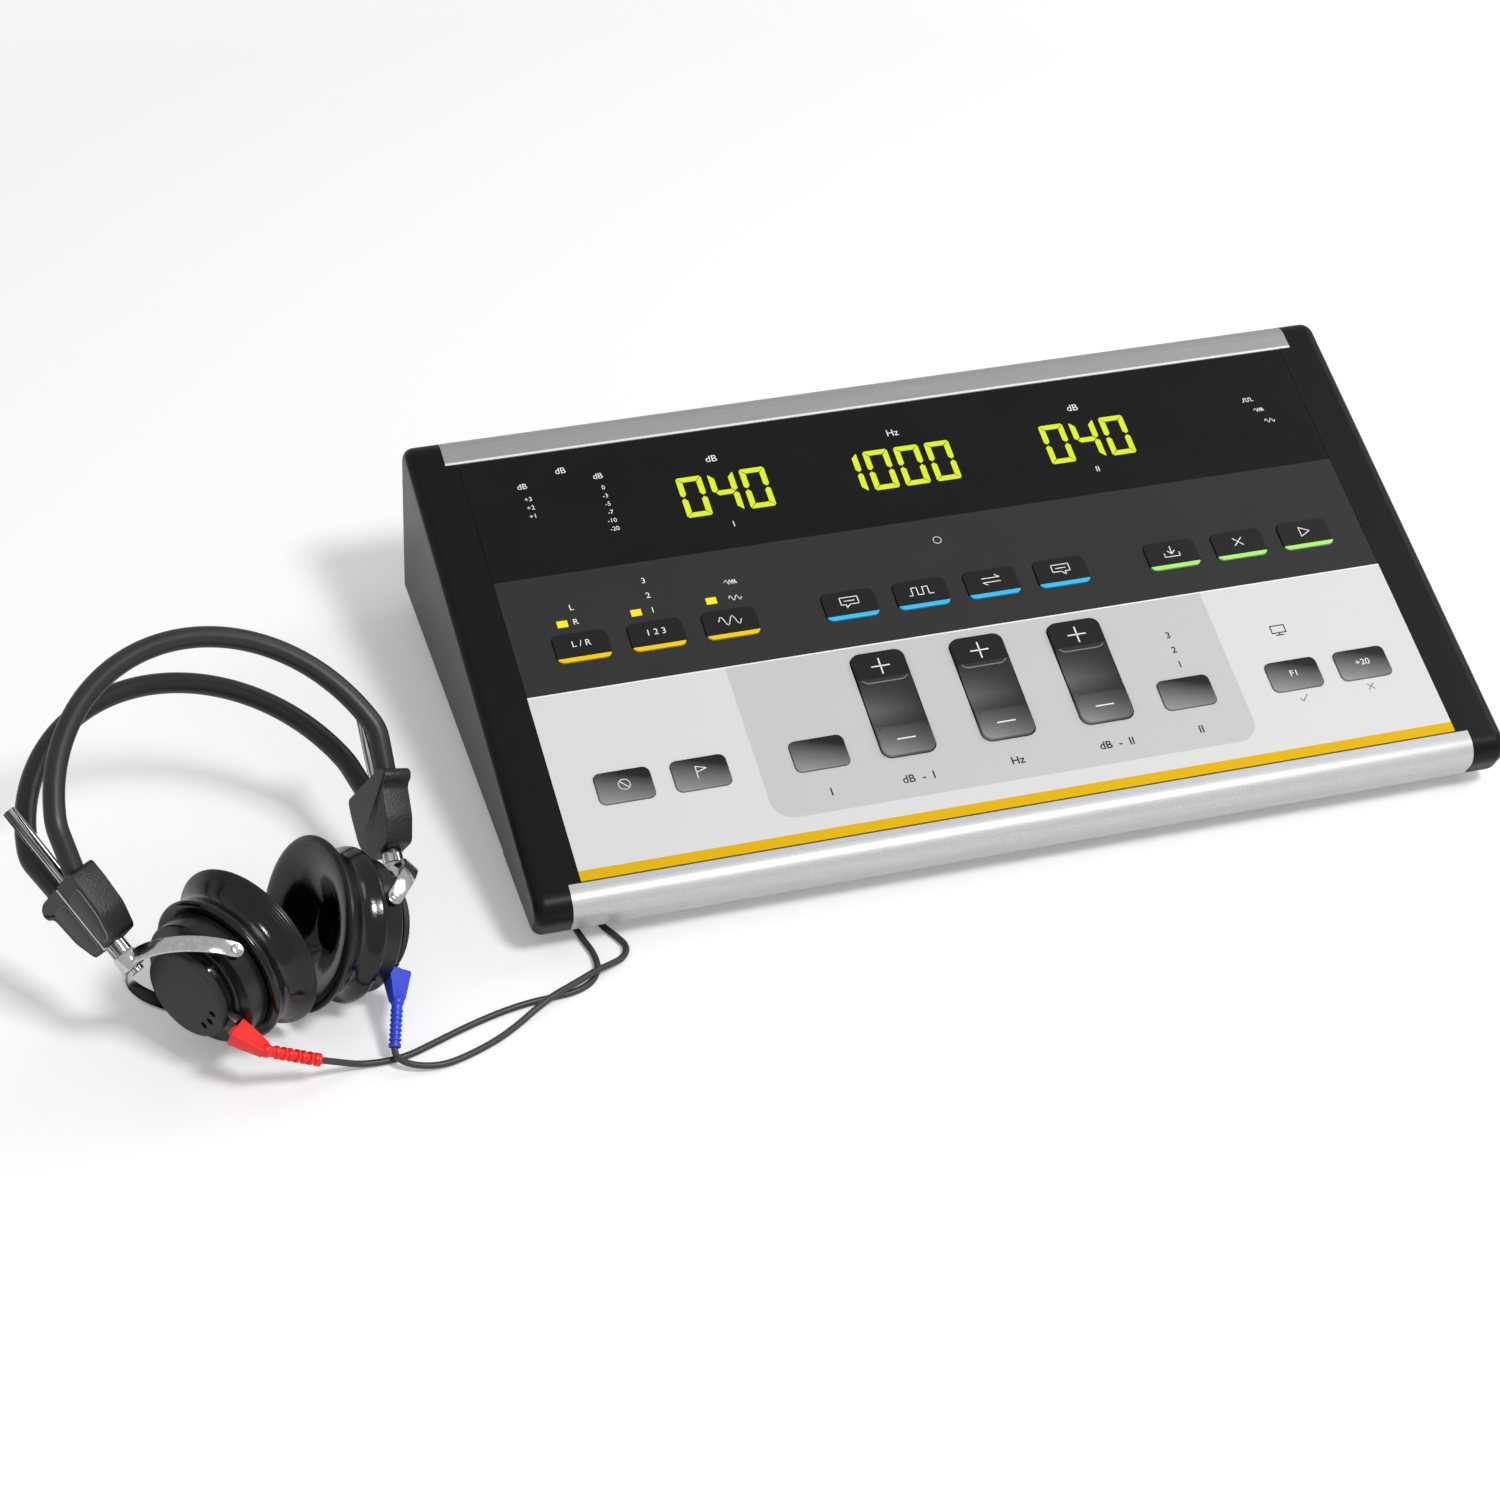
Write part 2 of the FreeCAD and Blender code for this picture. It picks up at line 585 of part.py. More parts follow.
def front_zone(name, centre_x, length, grow="0"):
    """Everything ahead of the film's front seam."""
    return block(name, PANEL, (centre_x, f"{grow} - size.seam - {FAR} / 2", BELOW),
                 (length, FAR, FAR))


def rear_zone(name, centre_x, length, grow="0"):
    """Everything behind the film's rear seam and above the rear rail's lower edge."""
    behind = block(name + "_behind", PANEL,
                   (centre_x, f"size.film_depth + size.seam - {grow} + {FAR} / 2", BELOW),
                   (length, FAR, FAR))
    above = block(name + "_above", CASE,
                  (centre_x, FAR, f"size.rear_rail_drop - {grow}"), (length, FAR, FAR))
    return common(name, behind, above)


LEDGE = (f"2 * ({HALF} - size.seam)", "2 * size.ledge_depth", "size.ledge_thickness")
LEDGE_W = "-size.film_thickness - size.plate_thickness - size.seat_gap - size.ledge_thickness"
sub_part("front_rail", fuse("front_rail", [
    common("front_nose", rail_shell, front_zone("front_region", "0", ACROSS)),
    block("front_ledge", PANEL, ("0", "0", LEDGE_W), LEDGE),
]))
sub_part("rear_rail", fuse("rear_rail", [
    common("rear_crest", rail_shell, rear_zone("rear_region", "0", ACROSS)),
    block("rear_ledge", PANEL, ("0", "size.film_depth", LEDGE_W), LEDGE),
]))

# Cheeks: hollow side mouldings with a rounded outer edge, a notch for each rail's
# end, and a dark undercut low on the outer face.
for side, sign in (("left", -1), ("right", 1)):
    outer_x = f"{HALF} + size.cheek_width"
    hollow = "size.cheek_width - size.cheek_face + size.cut_margin"
    if sign < 0:
        start, hollow_start = f"-({outer_x})", f"-({outer_x}) + size.cheek_face"
    else:
        start, hollow_start = HALF, f"{HALF} - size.cut_margin"
    shell = case_prism(f"{side}_cheek_outside", "0", start, "size.cheek_width")
    face_x = 0 if sign < 0 else value("size.cheek_width")
    round_edges(shell, shell.Tip, f"{side}_cheek_edge", "size.cheek_round",
                lambda edge: all(abs(spot.Point.x - face_x) < 1e-4 for spot in edge.Vertexes)
                and abs(edge.CenterOfMass.x - face_x) < 1e-4)
    notch_x = f"{sign} * ({HALF} + (size.rail_tongue + size.notch_gap - size.cut_margin) / 2)"
    notch = "size.rail_tongue + size.notch_gap + size.cut_margin"
    undercut_y = "(size.case_depth + size.undercut_front) / 2"
    undercut = block(f"{side}_undercut", CASE,
                     (f"{sign} * ({outer_x})", undercut_y, "size.foot_height - size.cut_margin"),
                     ("2 * size.undercut_depth",
                      "size.case_depth - size.undercut_front + 2 * size.cut_margin",
                      "size.undercut_height + size.cut_margin"))
    sub_part(f"{side}_cheek", cut(f"{side}_cheek", shell, [
        case_prism(f"{side}_cheek_inside", "size.wall", hollow_start, hollow),
        front_zone(f"{side}_front_notch", notch_x, notch, "size.notch_gap"),
        rear_zone(f"{side}_rear_notch", notch_x, notch, "size.notch_gap"),
        undercut,
    ]))

# Keys and rockers share their places with the openings in the film and the plate.
KEY_GROUPS = (
    (("key_ear", "key_mode", "key_stim_type"), "select", "upper"),
    (("key_talk_over", "key_pulse", "key_invert", "key_talk_back"), "control", "upper"),
    (("key_save", "key_cancel", "key_test"), "memory", "upper"),
    (("key_no_response", "key_mark"), "reply", "lower"),
    (("key_stimulus",), "present", "lower"),
    (("key_masking",), "mask", "lower"),
    (("key_f1", "key_plus_20"), "option", "lower"),
)
ROCKERS = ("rocker_intensity_1", "rocker_frequency", "rocker_intensity_2")
# Each column of lamps: name, u and v of its lowest lamp, count, pitch, lamp height.
LAMP_COLUMNS = (
    ("ear_lamps", -160.4, 118.8, 2, "size.lamp_pitch", "size.lamp_height"),
    ("mode_lamps", -129.9, 118.9, 3, "size.lamp_pitch", "size.lamp_height"),
    ("stimulus_lamps", -98.5, 119.1, 2, "size.lamp_pitch", "size.lamp_height"),
    ("masking_lamps", 72, 52.6, 3, "size.lamp_pitch", "size.lamp_height"),
    ("test_lamps", 148, 167.7, 3, "size.lamp_pitch", "size.lamp_height"),
    ("overshoot_lamps", -168, 174, 3, "size.meter_lamp_pitch", "size.meter_lamp_height"),
    ("level_lamps", -136, 161.6, 6, "size.meter_lamp_pitch", "size.meter_lamp_height"),
)
DISPLAYS = (
    ("left", "size.display_left_u", "size.display_narrow"),
    ("middle", "size.display_middle_u", "size.display_wide"),
    ("right", "size.display_right_u", "size.display_narrow"),
)


def key_place(group, number):
    """u of a key of a group."""
    return f"size.{group}_start" + (f" + {number} * size.{group}_pitch" if number else "")


def row_of_openings(body, name, level, first, extent, corner, pitch="0", count=1, axis="H_Axis"):
    """Rounded openings through a panel layer, in a row."""
    sketch = new_sketch(body, name, "XY_Plane", first[0], first[1], level)
    rounded_rectangle(sketch, extent[0], extent[1], corner)
    feature = pocket(body, sketch)
    if count > 1:
        repeat(body, feature, sketch, axis, pitch, count)


def key_openings(body, name, level):
    """An opening with a gap round every key and rocker."""
    grow = " + 2 * size.key_gap"
    for keys, group, band in KEY_GROUPS:
        row_of_openings(body, f"{name}_{group}", level, (key_place(group, 0), f"size.{band}_row"),
                        ("size.key_width" + grow, f"size.{band}_key_height" + grow),
                        "size.key_corner + size.key_gap", f"size.{group}_pitch", len(keys))
    grow = " + 2 * size.rocker_gap"
    row_of_openings(body, f"{name}_rockers", level, ("size.rocker_start", "size.rocker_row"),
                    ("size.rocker_width" + grow, "size.rocker_height" + grow),
                    "size.rocker_corner + size.rocker_gap", "size.rocker_pitch", len(ROCKERS))


# Overlay film: the printed sheet, lying on the plate between cheeks and rails.
film = new_body("overlay_film", PANEL)
film_sketch = new_sketch(film, "film_outline", "XY_Plane", "0", "size.film_depth / 2",
                         "-size.film_thickness")
rounded_rectangle(film_sketch, f"2 * ({HALF} - size.notch_gap)", "size.film_depth", "size.seam")
pad(film, film_sketch, "size.film_thickness")
key_openings(film, "film_opening", "0")
sub_part("overlay_film", film)

# Top plate: under the film, with openings for keys, rockers, lamps and displays,
# pillars for the key board, and a bracket at each end of every rocker pin.
plate = new_body("plate_sheet", PANEL)
plate_sketch = new_sketch(plate, "plate_outline", "XY_Plane", "0", "size.film_depth / 2",
                          "-size.film_thickness - size.plate_thickness")
rounded_rectangle(plate_sketch, f"2 * ({HALF} - size.seam)", "size.film_depth - 2 * size.seam",
                  "size.seam")
pad(plate, plate_sketch, "size.plate_thickness")
key_openings(plate, "plate_opening", "-size.film_thickness")
for name, u, v, count, pitch, height in LAMP_COLUMNS:
    row_of_openings(plate, name, "-size.film_thickness", (u, v), ("size.lamp_width", height),
                    "size.seam", pitch, count, "V_Axis")
for name, u, width in DISPLAYS:
    row_of_openings(plate, name + "_display_window", "-size.film_thickness",
                    (u, "size.display_row"),
                    (f"{width} - 2 * size.display_lip", "size.display_height - 2 * size.display_lip"),
                    "size.seam")
PLATE_UNDER = "-size.film_thickness - size.plate_thickness"
plate_pieces = [plate]
for sign in (-1, 1):
    for v in ("size.board_start + size.pillar_inset", "size.pillar_middle",
              "size.board_end - size.pillar_inset"):
        plate_pieces.append(post("pillar", PANEL, (f"{sign} * size.pillar_x", v, "-size.board_top"),
                                 "size.pillar_radius",
                                 "size.board_top - size.film_thickness"
                                 " - size.plate_thickness / 2"))
bracket_u = "(size.rocker_width / 2 + size.rocker_gap + size.bracket_thickness / 2)"
pin_holes = []
rocker_pins = []
for number in range(len(ROCKERS)):
    u = f"size.rocker_start + {number} * size.rocker_pitch"
    for sign in (-1, 1):
        plate_pieces.append(block("bracket", PANEL,
                                  (f"{u} + {sign} * {bracket_u}", "size.rocker_row",
                                   "-size.bracket_bottom"),
                                  ("size.bracket_thickness", "2 * size.boss_half",
                                   "size.bracket_bottom - size.film_thickness"
                                   " - size.plate_thickness / 2")))
    pin_frame = chain(PANEL, step(u, "size.rocker_row", "-size.rocker_axis"),
                      turn(ABOUT_Y, "90"))
    half_pin = f"({bracket_u} + size.bracket_thickness / 2)"
    rocker_pins.append(post("rocker_pin", pin_frame, ("0", "0", f"-{half_pin}"),
                            "size.pin_radius", f"2 * {half_pin}"))
    pin_holes.append(post("pin_hole", pin_frame, ("0", "0", f"-{half_pin} - size.cut_margin"),
                          "size.pin_radius", f"2 * ({half_pin} + size.cut_margin)"))
sub_part("top_plate", cut("top_plate", fuse("plate_whole", plate_pieces), pin_holes))
sub_part("rocker_pins", together("rocker_pins", rocker_pins))

# Keys: a cap through the film, a flange that holds it under the plate, a stem.
FLANGE_TOP = f"{PLATE_UNDER} - size.flange_gap"
FLANGE_UNDER = f"{FLANGE_TOP} - size.flange_thickness"


def key(name, u, band):
    """One key at rest."""
    body = new_body(name, chain(PANEL, step(u, f"size.{band}_row")))
    flange = new_sketch(body, name + "_flange", "XY_Plane", z=FLANGE_UNDER)
    rounded_rectangle(flange, "size.key_width + 2 * size.key_flange",
                      f"size.{band}_key_height + 2 * size.key_flange", "size.key_corner")
    pad(body, flange, "size.flange_thickness")
    cap = new_sketch(body, name + "_cap", "XY_Plane", z=FLANGE_UNDER)
    rounded_rectangle(cap, "size.key_width", f"size.{band}_key_height", "size.key_corner")
    top = pad(body, cap, f"size.key_stand - ({FLANGE_UNDER})")
    stem = new_sketch(body, name + "_stem", "XY_Plane", z=f"{FLANGE_UNDER} - size.stem_length")
    stem.addGeometry(Part.Circle(Vector(0, 0, 0), Vector(0, 0, 1), value("size.stem_radius")))
    constrain(stem, "Coincident", 0, 3, -1, 1)
    constrain(stem, "Radius", 0, expression="size.stem_radius")
    top = pad(body, stem, "size.stem_length + size.flange_thickness")
    height = value("size.key_stand")
    round_edges(body, top, name + "_edge", "size.key_edge",
                lambda edge: all(abs(spot.Point.z - height) < 1e-4 for spot in edge.Vertexes))
    sub_part(name, body)


for keys, group, band in KEY_GROUPS:
    for number, name in enumerate(keys):
        key(name, key_place(group, number), band)


# Rockers: a long cap hollowed in the middle, over a boss that turns on its pin.
def rocker(name, u):
    """One rocker, level."""
    frame = chain(PANEL, step(u, "size.rocker_row"))
    body = new_body(name + "_cap", frame)
    cap = new_sketch(body, name + "_outline", "XY_Plane", z="-size.rocker_depth")
    rounded_rectangle(cap, "size.rocker_width", "size.rocker_height", "size.rocker_corner")
    top = pad(body, cap, "size.rocker_depth + size.rocker_stand")
    height = value("size.rocker_stand")
    round_edges(body, top, name + "_edge", "size.key_edge",
                lambda edge: all(abs(spot.Point.z - height) < 1e-4 for spot in edge.Vertexes))
    boss = block(name + "_boss", frame, ("0", "0", "-size.boss_bottom"),
                 ("size.rocker_width - 2 * size.seam", "2 * size.boss_half",
                  "size.boss_bottom - size.rocker_depth / 2"))
    across = chain(frame, turn(ABOUT_Y, "90"))
    reach = "(size.rocker_width / 2 + size.cut_margin)"
    hollow_w = "(size.rocker_stand - size.rocker_dip + size.rocker_dip_radius)"
    dip = post(name + "_dip", across, (f"-{hollow_w}", "0", f"-{reach}"),
               "size.rocker_dip_radius", f"2 * {reach}")
    bore = post(name + "_bore", across, ("size.rocker_axis", "0", f"-{reach}"),
                "size.pin_radius + size.pin_clearance", f"2 * {reach}")
    sub_part(name, cut(name, fuse(name + "_solid", [body, boss]), [dip, bore]))


for number, name in enumerate(ROCKERS):
    rocker(name, f"size.rocker_start + {number} * size.rocker_pitch")

# Key board with its dome switches, display modules and lamps.
BOARD_TOP = "-size.board_top"
board_length = "(size.board_end - size.board_start)"
sub_part("key_board", block("key_board", PANEL,
                            ("0", "(size.board_end + size.board_start) / 2",
                             f"{BOARD_TOP} - size.board_thickness"),
                            ("2 * size.board_half_width", board_length, "size.board_thickness")))


def dome_switch(u, v):
    """A square switch with a round plunger, on the key board."""
    return fuse("dome_switch", [
        block("switch_body", PANEL, (u, v, BOARD_TOP),
              ("size.switch_side", "size.switch_side", "size.switch_height")),
        post("switch_plunger", PANEL, (u, v, BOARD_TOP), "size.plunger_radius",
             "size.board_top - size.plunger_top"),
    ])


switches = [dome_switch(key_place(group, number), f"size.{band}_row")
            for keys, group, band in KEY_GROUPS for number in range(len(keys))]
for number in range(len(ROCKERS)):
    for sign in (-1, 1):
        switches.append(dome_switch(f"size.rocker_start + {number} * size.rocker_pitch",
                                    f"size.rocker_row + {sign} * size.rocker_switch_reach"))
sub_part("dome_switches", together("dome_switches", switches))
sub_part("display_modules", together("display_modules", [
    block(name + "_display", PANEL, (u, "size.display_row", BOARD_TOP),
          (width, "size.display_height", f"size.board_top + {PLATE_UNDER} - size.seat_gap"))
    for name, u, width in DISPLAYS
]))
lamps = [block("lamp", PANEL, (u, f"{v} + {number} * {pitch}", BOARD_TOP),
               ("size.lamp_width - 2 * size.lamp_gap", f"{height} - 2 * size.lamp_gap",
                "size.board_top - size.film_thickness - size.seat_gap"))
         for name, u, v, count, pitch, height in LAMP_COLUMNS for number in range(count)]
sub_part("status_leds", together("status_leds", lamps))

# Base pan with board posts, feet, main board, screws, power supply and ribbon.
PAN_TOP = "(size.foot_height + size.pan_thickness)"
MAIN_BOARD_Z = f"({PAN_TOP} + size.boss_height)"
posts_xy = [(f"size.main_board_x + {sx} * (size.main_board_width / 2 - size.post_inset)",
             f"size.main_board_y + {sy} * (size.main_board_depth / 2 - size.post_inset)")
            for sx in (-1, 1) for sy in (-1, 1)]
pan_sheet = block("pan_sheet", CASE, ("0", "(size.case_depth + size.pan_front) / 2", "size.foot_height"),
                  (f"2 * ({HALF} - size.notch_gap)", "size.case_depth - size.pan_front",
                   "size.pan_thickness"))
board_posts = [post("board_post", CASE, (x, y, "size.foot_height"), "size.boss_radius",
                    "size.pan_thickness + size.boss_height") for x, y in posts_xy]
post_holes = [post("post_hole", CASE, (x, y, PAN_TOP), "size.screw_radius",
                   "size.boss_height + size.cut_margin") for x, y in posts_xy]
sub_part("base_pan", cut("base_pan", fuse("pan_whole", [pan_sheet] + board_posts), post_holes))
sub_part("rubber_feet", together("rubber_feet", [
    post("rubber_foot", CASE, (f"{sign} * size.foot_x", y, "0"), "size.foot_radius",
         "size.foot_height")
    for sign in (-1, 1) for y in ("size.foot_front", "size.foot_rear")
]))
board = block("board_sheet", CASE, ("size.main_board_x", "size.main_board_y", MAIN_BOARD_Z),
              ("size.main_board_width", "size.main_board_depth", "size.board_thickness"))
# Each chip: its middle from the board's middle, then its length and width.
CHIPS = ((-60, 20, 20, 20), (10, 25, 14, 14), (60, -10, 26, 10))
chips = [block("chip", CASE, (f"size.main_board_x + {x}", f"size.main_board_y + {y}", MAIN_BOARD_Z),
               (length, width, "size.board_thickness + size.chip_height"))
         for x, y, length, width in CHIPS]
board_holes = [post("board_hole", CASE, (x, y, f"{MAIN_BOARD_Z} - size.cut_margin"),
                    "size.screw_radius + size.pin_clearance",
                    "size.board_thickness + 2 * size.cut_margin") for x, y in posts_xy]
sub_part("main_board", cut("main_board", fuse("board_whole", [board] + chips), board_holes))
sub_part("case_screws", together("case_screws", [
    fuse("board_screw", [
        post("screw_shank", CASE, (x, y, PAN_TOP), "size.screw_radius",
             "size.boss_height + size.board_thickness + size.screw_head_height"),
        post("screw_head", CASE, (x, y, f"{MAIN_BOARD_Z} + size.board_thickness"),
             "size.screw_head", "size.screw_head_height"),
    ]) for x, y in posts_xy
]))
sub_part("power_supply", block("power_supply", CASE, ("size.supply_x", "size.supply_y", PAN_TOP),
                               ("size.supply_width", "size.supply_depth", "size.supply_height")))
RIBBON_FOOT = f"({MAIN_BOARD_Z} + size.board_thickness + size.ribbon_gap)"
ribbon_top = ("size.panel_front + (size.ribbon_y - size.ribbon_thickness / 2)"
              " * tan(size.panel_tilt)"
              " - (size.board_top + size.board_thickness) / cos(size.panel_tilt)")
sub_part("ribbon_cable", block("ribbon_cable", CASE,
                               ("size.main_board_x", "size.ribbon_y", RIBBON_FOOT),
                               ("size.ribbon_width", "size.ribbon_thickness",
                                f"{ribbon_top} - size.ribbon_gap - {RIBBON_FOOT}")))

# Rear panel with its jacks and the power inlet.
PANEL_OUT = "(size.case_depth - size.rear_panel_inset)"
PANEL_IN = f"({PANEL_OUT} - size.rear_panel_thickness)"
BACKWARD = turn(ABOUT_X, "-90")
jack_spots = [f"size.jack_start + {number} * size.jack_pitch"
              for number in range(int(value("size.jack_count")))]


def rearward(x, y, z):
    """A frame at a point of the rear whose z axis points backward."""
    return chain(CASE, step(x, y, z), BACKWARD)


def jack(x):
    """A threaded jack: body inside, neck through the panel, nut outside, bore right in."""
    frame = rearward(x, PANEL_OUT, "size.jack_z")
    body_start = "-size.rear_panel_thickness - size.jack_length"
    solid = fuse("jack_solid", [
        block("jack_body", frame, ("0", "0", body_start),
              ("size.jack_body", "size.jack_body", "size.jack_length")),
        post("jack_neck", frame, ("0", "0", body_start), "size.jack_neck",
             "size.jack_length + size.rear_panel_thickness + size.jack_nut_height"),
        post("jack_nut", frame, ("0", "0", "0"), "size.jack_nut", "size.jack_nut_height"),
    ])
    bore = post("jack_bore", frame, ("0", "0", "size.jack_nut_height - size.jack_depth"),
                "size.jack_bore", "size.jack_depth + size.cut_margin")
    return cut("jack", solid, [bore])


sub_part("rear_jacks", together("rear_jacks", [jack(x) for x in jack_spots]))
inlet_frame = rearward("size.inlet_x", PANEL_OUT, "size.inlet_z")
rear_sheet = block("rear_sheet", CASE,
                   ("0", f"({PANEL_OUT} + {PANEL_IN}) / 2", f"{PAN_TOP} + size.notch_gap"),
                   (f"2 * ({HALF} - size.notch_gap)", "size.rear_panel_thickness",
                    f"size.rear_panel_top - {PAN_TOP}"))
panel_holes = [post("jack_hole", rearward(x, PANEL_OUT, "size.jack_z"),
                    ("0", "0", "-size.rear_panel_thickness - size.cut_margin"),
                    "size.jack_neck + size.hole_gap",
                    "size.rear_panel_thickness + 2 * size.cut_margin") for x in jack_spots]
panel_holes.append(block("inlet_hole", inlet_frame,
                         ("0", "0", "-size.rear_panel_thickness - size.cut_margin"),
                         ("size.inlet_width + 2 * size.hole_gap",
                          "size.inlet_height + 2 * size.hole_gap",
                          "size.rear_panel_thickness + 2 * size.cut_margin")))
sub_part("rear_panel", cut("rear_panel", rear_sheet, panel_holes))

inlet_solid = fuse("inlet_solid", [
    block("inlet_body", inlet_frame, ("0", "0", "-size.inlet_length"),
          ("size.inlet_width", "size.inlet_height", "size.inlet_length")),
    block("inlet_bezel", inlet_frame, ("0", "0", "0"),
          ("size.inlet_width + 2 * size.bezel_rim", "size.inlet_height + 2 * size.bezel_rim",
           "size.bezel_thickness")),
])
inlet_recess = block("inlet_recess", inlet_frame,
                     ("-size.socket_offset - size.bezel_rim", "0",
                      "size.bezel_thickness - size.socket_depth"),
                     ("size.socket_width", "size.socket_height",
                      "size.socket_depth + size.cut_margin"))
rocker_recess = block("rocker_recess", inlet_frame,
                      ("size.socket_offset + 2 * size.bezel_rim", "0",
                       "-size.switch_radius - size.switch_gap"),
                      ("size.switch_width + 2 * size.switch_gap",
                       "2 * (size.switch_radius + size.switch_gap)",
                       "size.switch_radius + size.switch_gap + size.bezel_thickness"
                       " + size.cut_margin"))
blades = [block("blade", inlet_frame,
                (f"-size.socket_offset - size.bezel_rim + {column} * size.blade_pitch",
                 f"{row} * size.blade_stagger", "size.bezel_thickness - size.socket_depth"),
                ("size.blade_thickness", "size.blade_width", "size.blade_length"))
          for column, row in ((-1, 1), (0, -1), (1, 1))]
sub_part("power_inlet", fuse("power_inlet", [
    cut("inlet_shell", inlet_solid, [inlet_recess, rocker_recess])] + blades))
switch_frame = chain(inlet_frame, step("size.socket_offset + 2 * size.bezel_rim"))
switch_block = block("switch_block", switch_frame, ("0", "0", "-size.switch_radius"),
                     ("size.switch_width", "size.switch_tall",
                      "size.switch_radius + size.switch_proud"))
switch_drum = post("switch_drum", chain(switch_frame, turn(ABOUT_Y, "90")),
                   ("0", "0", "-size.switch_width / 2"), "size.switch_radius",
                   "size.switch_width")
sub_part("power_rocker", common("power_rocker", switch_block, switch_drum))


# Bent tubes: straight runs between chosen points, joined by tangent arcs.
def route_edges(points, shares, report=None):
    """Edges along a route whose corners are rounded by a share of their shorter run."""
    edges = []
    here = points[0]
    for before, corner, after in zip(points, points[1:], points[2:]):
        back, ahead = before - corner, after - corner
        shorter = min(back.Length, ahead.Length)
        reach = shares * shorter
        half_turn = (math.pi - back.getAngle(ahead)) / 2
        if report is not None:
            report.append(reach / math.tan(half_turn))
        back.normalize()
        ahead.normalize()
        arc_start, arc_end = corner + back * reach, corner + ahead * reach
        inward = back + ahead
        inward.normalize()
        radius = reach / math.tan(half_turn)
        middle = corner + inward * (math.hypot(radius, reach) - radius)
        edges.append(Part.LineSegment(here, arc_start).toShape())
        edges.append(Part.Arc(arc_start, middle, arc_end).toShape())
        here = arc_end
    edges.append(Part.LineSegment(here, points[-1]).toShape())
    return edges


def tube(edges, radius):
    """A round solid along edges that meet tangentially."""
    path = Part.Wire(edges)
    start = edges[0].firstVertex().Point
    along = edges[0].tangentAt(edges[0].FirstParameter)
    section = Part.Wire([Part.makeCircle(radius, start, along)])
    solid = path.makePipeShell([section], True, True)
    expected = math.pi * radius ** 2 * path.Length
    if abs(solid.Volume - expected) > 0.01 * expected:
        raise ValueError("a tube's volume isn't its section times its length")
    return solid


def computed(name, place, shape):
    """A sub-part whose shape is worked out here, placed once it has it."""
    feature = doc.addObject("Part::Feature", name)
    feature.Shape = shape
    feature.setExpression("Placement", place)
    return sub_part(name, feature)


# Headbands: two arched tubes that lean apart, each with a bend and a short leg
# into the clamp on either side.
def band_path(sign):
    """One headband's centre line in the headset frame, from left leg to right leg."""
    arch = Placement(Vector(0, sign * value("size.band_spread"), value("size.crown")),
                     Rotation(Vector(1, 0, 0), -sign * value("size.band_splay")))
    rod = Placement(Vector(-value("size.half_gap"), 0, value("size.rod_foot")),
                    Rotation(Vector(0, 1, 0), -value("size.rod_lean")))
    radius = value("size.band_radius")
    half_angle = math.radians(value("size.band_half_angle"))

    def arch_point(angle):
        flat = Vector(radius * math.sin(angle), 0, radius * (math.cos(angle) - 1))
        return arch.multVec(flat)

    def half(side):
        """Leg, bend and arch end on one side (-1 left, 1 right)."""
        entry = rod.multVec(Vector(0, sign * value("size.leg_spread"), value("size.clamp_top")))
        entry.x = entry.x * -side
        end = arch_point(side * half_angle)
        outward = arch.Rotation.multVec(Vector(side * math.cos(half_angle), 0,
                                               -math.sin(half_angle)))
        bend = end + outward * value("size.kink_run")
        leg = entry - bend
        leg.normalize()
        tangent = bend + leg * value("size.kink_run")
        foot = entry + leg * value("size.leg_depth")
        back, ahead = end - bend, tangent - bend
        half_turn = (math.pi - back.getAngle(ahead)) / 2
        bend_radius = value("size.kink_run") / math.tan(half_turn)
        inward = back + ahead
        inward.normalize()
        middle = bend + inward * (math.hypot(bend_radius, value("size.kink_run")) - bend_radius)
        return foot, tangent, middle, end

    left_foot, left_tangent, left_middle, left_end = half(-1)
    right_foot, right_tangent, right_middle, right_end = half(1)
    return [
        Part.LineSegment(left_foot, left_tangent).toShape(),
        Part.Arc(left_tangent, left_middle, left_end).toShape(),
        Part.Arc(left_end, arch_point(0), right_end).toShape(),
        Part.Arc(right_end, right_middle, right_tangent).toShape(),
        Part.LineSegment(right_tangent, right_foot).toShape(),
    ]


bands = [computed(name, HEAD, tube(band_path(sign), value("size.band_tube")))
         for name, sign in (("band_front", -1), ("band_rear", 1))]


